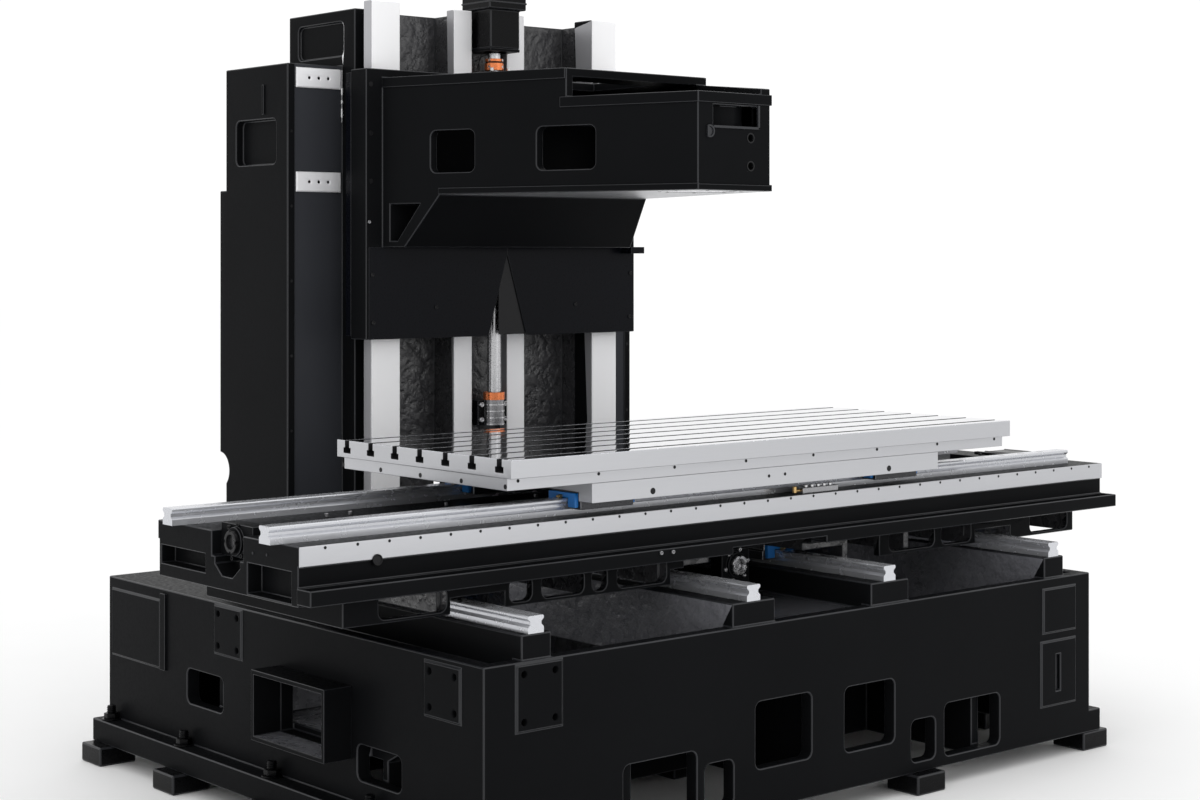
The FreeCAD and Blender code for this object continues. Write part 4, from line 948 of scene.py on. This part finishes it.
@dataclass
class Column:
    """The column with its four box ways."""

    edge: float = 0.004
    way_low: float = 0.64
    outer_front: float = 0.9765
    outer_inside: float = 0.42
    inner_front: float = 1.024
    inner_span: tuple[float, float] = (0.07, 0.165)
    recess: tuple[float, float] = (1.02, 1.102)
    shoulder: tuple[float, float] = (0.54, 0.735)
    pad_face: float = 1.099
    strip_face: float = 1.101
    foot: float = 0.648

    def build(self) -> None:
        """Dress the casting and what is screwed to it."""
        casting = dressed("column_casting", CAST_PAINT, self.edge)
        coat_where(casting, RAW_CAST, lambda c, n: (
            abs(c.x) < 0.43 and self.recess[0] < c.y < self.recess[1]
            and c.z > self.way_low), False)
        # painted reflection: the ways' ground faces in near-white
        coat_where(casting, GROUND_Z_REFLECTION, lambda c, n: self._on_way(c))
        # painted shade: the ways' side faces take the darker copy
        coat_where(casting, GROUND_FLANK_SHADE, lambda c, n: (
            abs(n.x) > 0.9 and self._on_way(c)), False)
        inside, outside = self.shoulder
        # painted light: the shoulders' front faces, in shade, take the lighter paint
        coat_where(casting, SHOULDER_LIGHT, lambda c, n: (
            n.y < -0.9 and abs(c.x) > inside and 1.09 < c.y < 1.13 and c.z > 0.65), False)
        # painted reflection: the shoulder pads in near-white
        coat_where(casting, PAD_REFLECTION, lambda c, n: (
            inside < abs(c.x) < outside and abs(c.y - self.pad_face) < 0.0045 and c.z > 1.7))
        self._corner_strips()
        self._foot_bolts()
        self._oil_lines()

    def _on_way(self, c: Vector) -> bool:
        """Whether a place on the casting is part of one of the four ways.

        Args:
            c: the place.
        """
        outer = c.y < self.outer_front and abs(c.x) > self.outer_inside
        inner = c.y < self.inner_front and self.inner_span[0] < abs(c.x) < self.inner_span[1]
        return c.z > self.way_low and (outer or inner)

    def _corner_strips(self) -> None:
        """Narrow flanges down the shoulders' front corners, and the small side ribs."""
        strips, ribs = [], []
        for sign in (-1.0, 1.0):
            a, b = sorted((sign * 0.765, sign * 0.738))
            strips.append(slab("strip", (a, self.strip_face, 0.649), (b, 1.106, 2.313)))
            a, b = sorted((sign * 0.764, sign * 0.771))
            ribs.append(slab("rib", (a, 1.250, 2.145), (b, 1.262, 2.248)))
        painted("column_corner_strips", strips, "base")
        painted("column_side_ribs", ribs, "base")
        # black discs at the strip's screws: painted shade of the screw holes
        fitted("corner_strip_screws", HoleMouth(0.005).build(),
               [(sign * 0.751, self.strip_face, 2.0833 - 0.2535 * i) for sign in (-1, 1)
                for i in range(6)], BLACK_AND_SHADE, "base", AHEAD)

    def _foot_bolts(self) -> None:
        """Hexagon bolts that hold the column on the bed."""
        right = [(0.785, 1.02 + 0.12 * i) for i in range(5)]
        places = [(sign * x, y, self.foot) for row in (right, [(0.60, 1.065), (0.70, 1.065)],
                                                       [(0.24, 1.001), (0.36, 1.001)])
                  for sign in (-1, 1) for x, y in row]
        fitted("column_foot_bolts", HexBolt(0.019, 0.020).build(), places, MOTOR_PAINT,
               "base")

    @staticmethod
    def _oil_lines() -> None:
        """Short rigid oil pipes with their unions beside the upper pads."""
        pipes, unions = [], []
        y = 1.098
        for x in (-0.5505, 0.5505):
            pipes.append(turned("pipe", (x, y, 2.12), (x, y, 2.30), 0.003, 12))
            for z, tall in ((2.225, 0.012), (2.152, 0.016), (2.190, 0.006)):
                unions.append(turned("union", (x, y, z - tall), (x, y, z + tall), 0.0065, 6))
        rides(coat(fuse("column_oil_pipes", pipes), NUT_STEEL), "base")
        unions = round_edges(fuse("column_oil_unions", unions), 0.0008, 1)
        rides(coat(unions, BOLT_BRIGHT), "base")


@dataclass
class Head:
    """The tapered spindle head with its guards and keepers."""

    nose: float = -0.273
    nose_half: float = 0.155
    root: float = 0.883
    root_half: float = 0.530
    proud: float = 0.005
    sole: float = 1.865
    deck_band: tuple[float, float] = (2.136, 2.1695)
    rear_band: tuple[float, float] = (2.228, 2.2615)
    bore_y: float = -0.118
    bore_radius: float = 0.108
    bolt_circle: float = 0.131

    def half_at(self, y: float) -> float:
        """Half width of the head's box at a place along Y."""
        share = (y - self.nose) / (self.root - self.nose)
        return self.nose_half + share * (self.root_half - self.nose_half)

    def build(self) -> None:
        """Dress the casting, its rims, guards, screws and the spindle bore."""
        casting = dressed("head_casting", CAST_PAINT, 0.003)
        coat_where(casting, GROUND_X, lambda c, n: (
            n.z < -0.9 and abs(c.z - self.sole) < 0.002 and c.y < 0.66), False)
        # painted reflection: the spindle bore's wall in the same near-white
        coat_where(casting, GROUND_Z_REFLECTION, lambda c, n: (
            math.hypot(c.x, c.y - self.bore_y) < self.bore_radius and abs(n.z) < 0.5))
        self._rims()
        self._nose_details()
        self._screws()
        for node in ("guard_left", "guard_right", "wiper_tab", "keeper_left", "keeper_right"):
            dressed(node, SHEET_PAINT, 0.0008, segments=1)
        # a black sheet behind the V-slot between the guards: painted shade
        shade_sheet = slab("guard_slot_shade_sheet", (-0.036, self.root + 0.0012, 1.384),
                       (0.398, self.root + 0.0042, 1.689))
        rides(coat(round_edges(shade_sheet, 0.001, 1), BLACK_AND_SHADE), "head")

    def _rim(self, sign: float, span: tuple[float, float], low: float, high: float
             ) -> bpy.types.Object:
        """One proud band along a side of the tapered box.

        Args:
            sign: -1 for the left side, 1 for the right.
            span: its first and last place along Y.
            low: its lower edge.
            high: its upper edge.

        Returns:
            The band.
        """
        z = (low + high) / 2
        first, last = [(sign * (self.half_at(y) + self.proud / 2 - 0.001), y, z) for y in span]
        return bar("rim", first, last, self.proud + 0.002, high - low)

    def _rims(self) -> None:
        """Bands along the top and bottom edges and round the nose."""
        parts = []
        nose = self.nose - self.proud
        for sign in (-1.0, 1.0):
            parts.append(self._rim(sign, (0.186, 0.882), *self.rear_band))
            parts.append(self._rim(sign, (nose, 0.205), *self.deck_band))
            parts.append(self._rim(sign, (nose, 0.660), self.sole + 0.0005, 1.886))
        half = self.nose_half + self.proud
        for low, high in (self.deck_band, (self.sole + 0.0005, 1.884)):
            parts.append(slab("nose_rim", (-half, nose, low), (half, self.nose + 0.002, high)))
        painted("head_rims", parts, "head")

    def _nose_details(self) -> None:
        """Ledge round the nose recess, the D-shaped boss beside it and two rings."""
        front, back = self.nose - 0.004, self.nose + 0.02
        ledge = slab("ledge", (-0.092, front, 2.058), (0.108, back, 2.066))
        side = slab("side", (0.100, front, 2.058), (0.108, back, 2.134))
        boss = turned("boss", (-0.109, self.nose + 0.004, 2.047),
                      (-0.109, self.nose - 0.006, 2.047), 0.020, 28)
        pick_faces(boss, lambda c, n: True)
        bpy.ops.mesh.bisect(plane_co=(-0.119, 0, 0), plane_no=(1, 0, 0), use_fill=True,
                            clear_inner=True)
        bpy.ops.object.mode_set(mode="OBJECT")
        dish(boss, AHEAD, 0.005, 0.004)
        parts = [round_edges(ledge, 0.0015, 2), round_edges(side, 0.0015, 2),
                 round_edges(boss, 0.0008, 1)]
        # the nose trim takes the lighter paint: painted highlight and wear
        rides(coat(fuse("nose_trim", parts), HIGHLIGHT_WEAR), "head")
        rings = []
        for z in (1.943, 2.031):
            x = 0.070
            ring = turned("ring", (x, self.nose + 0.002, z), (x, self.nose - 0.001, z),
                          0.0165, 32)
            cut(ring, [turned("hole", (x, self.nose + 0.01, z), (x, self.nose - 0.01, z),
                              0.0122, 32)])
            rings.append(ring)
        rides(coat(fuse("nose_rings", rings), BLACK_AND_SHADE), "head")

    def _screws(self) -> None:
        """Screws and holes of the flange, the guards, the deck and the spindle bore."""
        face, guard = self.root, self.root - 0.003
        # the flange holes are black discs: painted shade of the holes
        rows = (("flange_holes", HoleMouth(0.0085), face, BLACK_AND_SHADE, "casting_black",
                 ((0.5764, 2.2377), (0.5764, 2.0733), (0.5764, 1.9124))),
                ("flange_screws", CapScrew(0.006, 0.004), face, NUT_STEEL, "screw_steel",
                 ((0.5844, 1.7748),)),
                ("guard_screws", CapScrew(0.0075, 0.0035), guard, BLACK_AND_SHADE, "sheet_black",
                 ((0.574, 1.597), (0.31, 1.485), (0.570, 1.436))))
        for name, pattern, y, finish, slot, places in rows:
            fitted(name, pattern.build(), [(sign * x, y, z) for sign in (-1, 1)
                                           for x, z in places], finish, "head", AHEAD)
        fitted("deck_screws", CapScrew(0.009, 0.009).build(),
               [(sign * 0.21, y, 2.262) for sign in (-1, 1) for y in (0.35, 0.45, 0.55, 0.65)],
               BLACK_AND_SHADE, "head")
        angles = [math.tau * i / 8 + 0.2 for i in range(8)]
        # black discs round the bore: painted shade of the holes
        fitted("spindle_holes", HoleMouth(0.006).build(),
               [(self.bolt_circle * math.cos(a), self.bore_y + self.bolt_circle * math.sin(a),
                 self.sole) for a in angles], BLACK_AND_SHADE, "head", (0, 0, -1))


@dataclass
class Drives:
    """Ball screws with their bearings, couplings, nuts and motors."""

    coupling_radius: float = 0.034
    nut_radius: float = 0.031
    shaft_room: float = 0.0203
    screw_circle: float = 0.0485
    x_case: float = 1.526
    y_case: float = 0.936
    z_case: float = 2.530
    z_nut_level: float = 1.150

    def build(self) -> None:
        """Dress the three drives."""
        self._vertical()
        self._level("x", Axis.X, (-1.572, 1.350), NUT_STEEL, self.x_case,
                    (("x_bearing_left", -1.0, BLACK_AND_SHADE), ("x_bearing_right", 1.0, BLACK_AND_SHADE)))
        self._level("y", Axis.Y, (-0.202, 0.760), SCREW_STEEL, self.y_case,
                    (("y_bearing_front", -1.0, BOLT_BRIGHT), ("y_bearing_rear", 1.0, BOLT_BRIGHT)))
        for name in ("x_ball_nut", "y_ball_nut", "z_ball_nut"):
            dressed(name, NUT_STEEL, 0.001, edge=BOLT_BRIGHT, segments=1)
        for name in ("x_motor_plate", "y_motor_plate", "z_motor_shelf", "y_nut_bracket"):
            dressed(name, CAST_PAINT, 0.0015)

    @staticmethod
    def _spoke(axis: Axis, angle: float) -> Vector:
        """A direction square to an axis, at an angle round it."""
        out = Vector((0.0, 0.0, 1.0)) if axis is not Axis.Z else Vector((0.0, -1.0, 0.0))
        out.rotate(Quaternion(axis.direction, angle))
        return out

    @staticmethod
    def _center(axis: Axis) -> Vector:
        """The middle of the screw that runs along an axis."""
        low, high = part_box(f"{axis.name.lower()}_screw")
        return (low + high) / 2

    def _coupling(self, node: str, axis: Axis) -> None:
        """Two clamped hubs with a dark insert between them.

        Args:
            node: the coupling's CAD node.
            axis: the axis it turns about.
        """
        low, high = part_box(node)
        middle = (low + high) / 2
        start = low[axis.value]
        tall = high[axis.value] - start
        parts = []
        for first, last, share, finish in ((0.0, 0.42, 1.0, COPPER), (0.42, 0.50, 0.88, BLACK_AND_SHADE),
                                           (0.50, 0.66, 0.96, COPPER),
                                           (0.66, 1.0, 0.66, BOLT_BRIGHT)):
            a, b = middle.copy(), middle.copy()
            a[axis.value] = start + tall * first
            b[axis.value] = start + tall * last
            ring = turned("ring", a, b, self.coupling_radius * share, 40)
            dish(ring, axis.direction, 0.012, 0.004)
            parts.append(coat(round_edges(ring, 0.0012, 2), finish))
        clamps = []
        for share in (0.2, 0.58):
            for turn in range(4):
                place = middle.copy()
                place[axis.value] = start + tall * share
                out = self._spoke(axis, math.tau * turn / 4 + 0.4)
                clamps.append(turned("clamp", place + out * 0.030, place + out * 0.0345,
                                     0.0042, 12))
        parts.append(coat(fuse("clamps", clamps), BOLT_BRIGHT))
        hub = fuse(f"{node}_hubs", parts)
        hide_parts(node)
        rides(hub, body_of(node))

    def _bearing(self, node: str, axis: Axis, sign: float, metal: Finish) -> None:
        """Bearing block with a ring of screws and a slotted lock nut on its outer face.

        Args:
            node: the bearing's CAD node.
            axis: the screw's axis.
            sign: which way the outer face looks.
            metal: what covers the lock nut and the screws.
        """
        dressed(node, CAST_PAINT, 0.0015)
        at = self._center(axis)
        line = axis.direction * sign
        at[axis.value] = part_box(node)[int(sign > 0)][axis.value]
        nut = turned(f"{node}_nut", at, at + line * 0.012, self.nut_radius, 32)
        notches = []
        for turn in range(4):
            rim = at + self._spoke(axis, math.tau * turn / 4) * self.nut_radius
            notches.append(turned("notch", rim - line * 0.001, rim + line * 0.02, 0.005, 12))
        notches.append(turned("room", at - line * 0.01, at + line * 0.02, self.shaft_room, 32))
        cut(nut, notches)
        rides(coat(round_edges(nut, 0.0012, 1), metal), body_of(node))
        heads = [at - line * 0.010 + self._spoke(axis, math.tau * turn / 6 + 0.3)
                 * self.screw_circle for turn in range(6)]
        fitted(f"{node}_screws", CapScrew(0.0062, 0.008).build(), heads, metal, body_of(node),
               line)

    def _motor(self, node: str, axis: Axis, start: float) -> None:
        """Servo motor's case with a thin band near each end.

        Args:
            node: the motor's CAD node.
            axis: its shaft's axis.
            start: where its case begins along the axis.
        """
        dressed(node, MOTOR_PAINT, 0.005, segments=3)
        low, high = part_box(node)
        low[axis.value] = start
        grow = Vector((0.0015, 0.0015, 0.0015))
        bands = []
        for share in (0.10, 0.86):
            a, b = low - grow, high + grow
            a[axis.value] = start + (high[axis.value] - start) * share
            b[axis.value] = a[axis.value] + 0.006
            bands.append(round_edges(slab("band", a, b), 0.001, 1))
        # the bands take the lighter paint: painted highlight and wear
        rides(coat(fuse(f"{node}_bands", bands), HIGHLIGHT_WEAR), body_of(node))

    def _thread(self, axis: Axis, span: tuple[float, float], finish: Finish) -> None:
        """The threaded stretch of a screw, and the finish of its plain rod.

        Args:
            axis: the screw's axis.
            span: where the thread starts and ends along the axis.
            finish: what covers the rod's ends.
        """
        at = self._center(axis)
        at[axis.value] = 0.0
        body = f"{axis.name.lower()}_screw"
        coat(frame["nodes"][body], finish)
        thread = Thread(f"{axis.name.lower()}_thread", axis, tuple(at), *span).build()
        rides(thread, body)

    def _level(self, prefix: str, axis: Axis, span: tuple[float, float], finish: Finish,
               case: float, bearings: Sequence[tuple[str, float, Finish]]) -> None:
        """One level drive: the X drive in the saddle's channel or the Y drive in the bed.

        Args:
            prefix: how its CAD nodes' names begin.
            axis: the screw's axis.
            span: where the thread starts and ends along the axis.
            finish: what covers the rod's ends.
            case: where the motor's case begins along the axis.
            bearings: each bearing's node, outward direction and small hardware's finish.
        """
        self._thread(axis, span, finish)
        for node, sign, metal in bearings:
            self._bearing(node, axis, sign, metal)
        self._coupling(f"{prefix}_coupling", axis)
        self._motor(f"{prefix}_motor", axis, case)

    def _vertical(self) -> None:
        """The Z drive in front of the column."""
        self._thread(Axis.Z, (1.182, 2.258), SCREW_STEEL)
        self._coupling("z_coupling", Axis.Z)
        at = self._center(Axis.Z)
        lower = dressed("z_bearing_lower", MOTOR_PAINT, 0.002)
        coat_where(lower, NUT_STEEL, lambda c, n: (
            math.hypot(c.x - at.x, c.y - at.y) < 0.0366 and c.z > 1.06))
        dressed("z_bearing_upper", MOTOR_PAINT, 0.002)
        self._lower_nut(at.x, at.y)
        fitted("z_lower_bolts", CapScrew(0.009, 0.010).build(),
               [(sign * 0.052, 0.968, z) for sign in (-1, 1) for z in (1.1335, 1.080)],
               BOLT_BRIGHT, "base", AHEAD)
        fitted("z_upper_bolts", CapScrew(0.007, 0.012).build(),
               [(at.x + 0.052 * math.cos(a), at.y + 0.052 * math.sin(a), 2.314)
                for a in (3.9, 5.5)], BOLT_BRIGHT, "base")
        self._motor("z_motor", Axis.Z, self.z_case)

    def _lower_nut(self, x: float, y: float) -> None:
        """Slotted copper ring and four thin lips round the lower bearing's neck.

        Args:
            x: the screw's place across.
            y: the screw's place along the bed.
        """
        low = self.z_nut_level
        ring = turned("z_lower_ring", (x, y, low), (x, y, low + 0.027), 0.0385, 40)
        slots = [turned("slot", (x + 0.05 * math.cos(a), y + 0.05 * math.sin(a), low + 0.013),
                        (x, y, low + 0.013), 0.004, 12) for a in (0.5, 2.1, 3.7, 5.2)]
        cut(ring, [turned("room", (x, y, 1.14), (x, y, 1.19), 0.0365, 40), *slots])
        rides(coat(round_edges(ring, 0.001, 1), COPPER), "base")
        lips = [turned("lip", (x, y, z), (x, y, z + 0.004), 0.0372, 40)
                for z in (1.062, 1.085, 1.108, 1.131)]
        for lip in lips:
            cut(lip, [turned("room", (x, y, 1.05), (x, y, 1.15), 0.0355, 40)])
        rides(coat(fuse("z_lower_lips", lips), BOLT_BRIGHT), "base")


# ------------------------------------------------------------------ studio
@dataclass
class Studio:
    """Floor, lights and camera."""

    camera_at: Point = (-4.586, -5.0394, 1.6704)
    turn: float = 40.264
    lens: float = 63.60
    shift: float = -0.1224

    def build(self) -> None:
        """Set up everything that isn't the machine."""
        bpy.context.scene.view_settings.view_transform = "Standard"
        deselect()
        bpy.ops.mesh.primitive_plane_add(size=120.0)
        floor = settle(bpy.context.object, "studio_floor")
        coat(floor, STUDIO_FLOOR)
        world = bpy.data.worlds.new("studio_world")
        bpy.context.scene.world = world
        world.use_nodes = True
        world.node_tree.nodes["Background"].inputs["Color"].default_value = (1, 1, 1, 1)
        world.node_tree.nodes["Background"].inputs["Strength"].default_value = 1.06
        self._softbox("key", (-6.5, -1.5, 5.5), (0, 0, 1.0), 5.0, 8.0)
        self._softbox("top", (0.5, -1.0, 6.5), (0, 0, 0.9), 6.0, 30.0)
        self._softbox("front", (2.5, -7.5, 2.8), (0, 0, 1.0), 4.0, 30.0)
        bpy.ops.object.camera_add(location=self.camera_at)
        camera = bpy.context.object
        camera.name = "studio_camera"
        camera.rotation_euler = (math.radians(90), 0.0, -math.radians(self.turn))
        camera.data.lens = self.lens
        camera.data.shift_y = self.shift
        camera.data.clip_end = 300.0
        bpy.context.scene.camera = camera

    @staticmethod
    def _softbox(name: str, at: Point, aim: Point, size: float, power: float) -> None:
        """Add one square area light.

        Args:
            name: name of the light.
            at: where it hangs.
            aim: what it points at.
            size: its side.
            power: its power in watts.
        """
        bpy.ops.object.light_add(type="AREA", location=at)
        lamp = bpy.context.object
        lamp.name = f"softbox_{name}"
        lamp.data.size = size
        lamp.data.energy = power
        lamp.rotation_euler = (Vector(aim) - Vector(at)).to_track_quat("-Z", "Y").to_euler()


def main() -> None:
    """Build every sub-assembly, then the studio round it."""
    for part in (Bed(), Guides(), Saddle(), Table(), Column(), Head(), Drives(), Studio()):
        LOG.info("building %s", type(part).__name__)
        part.build()


if __name__ == "__main__":
    main()
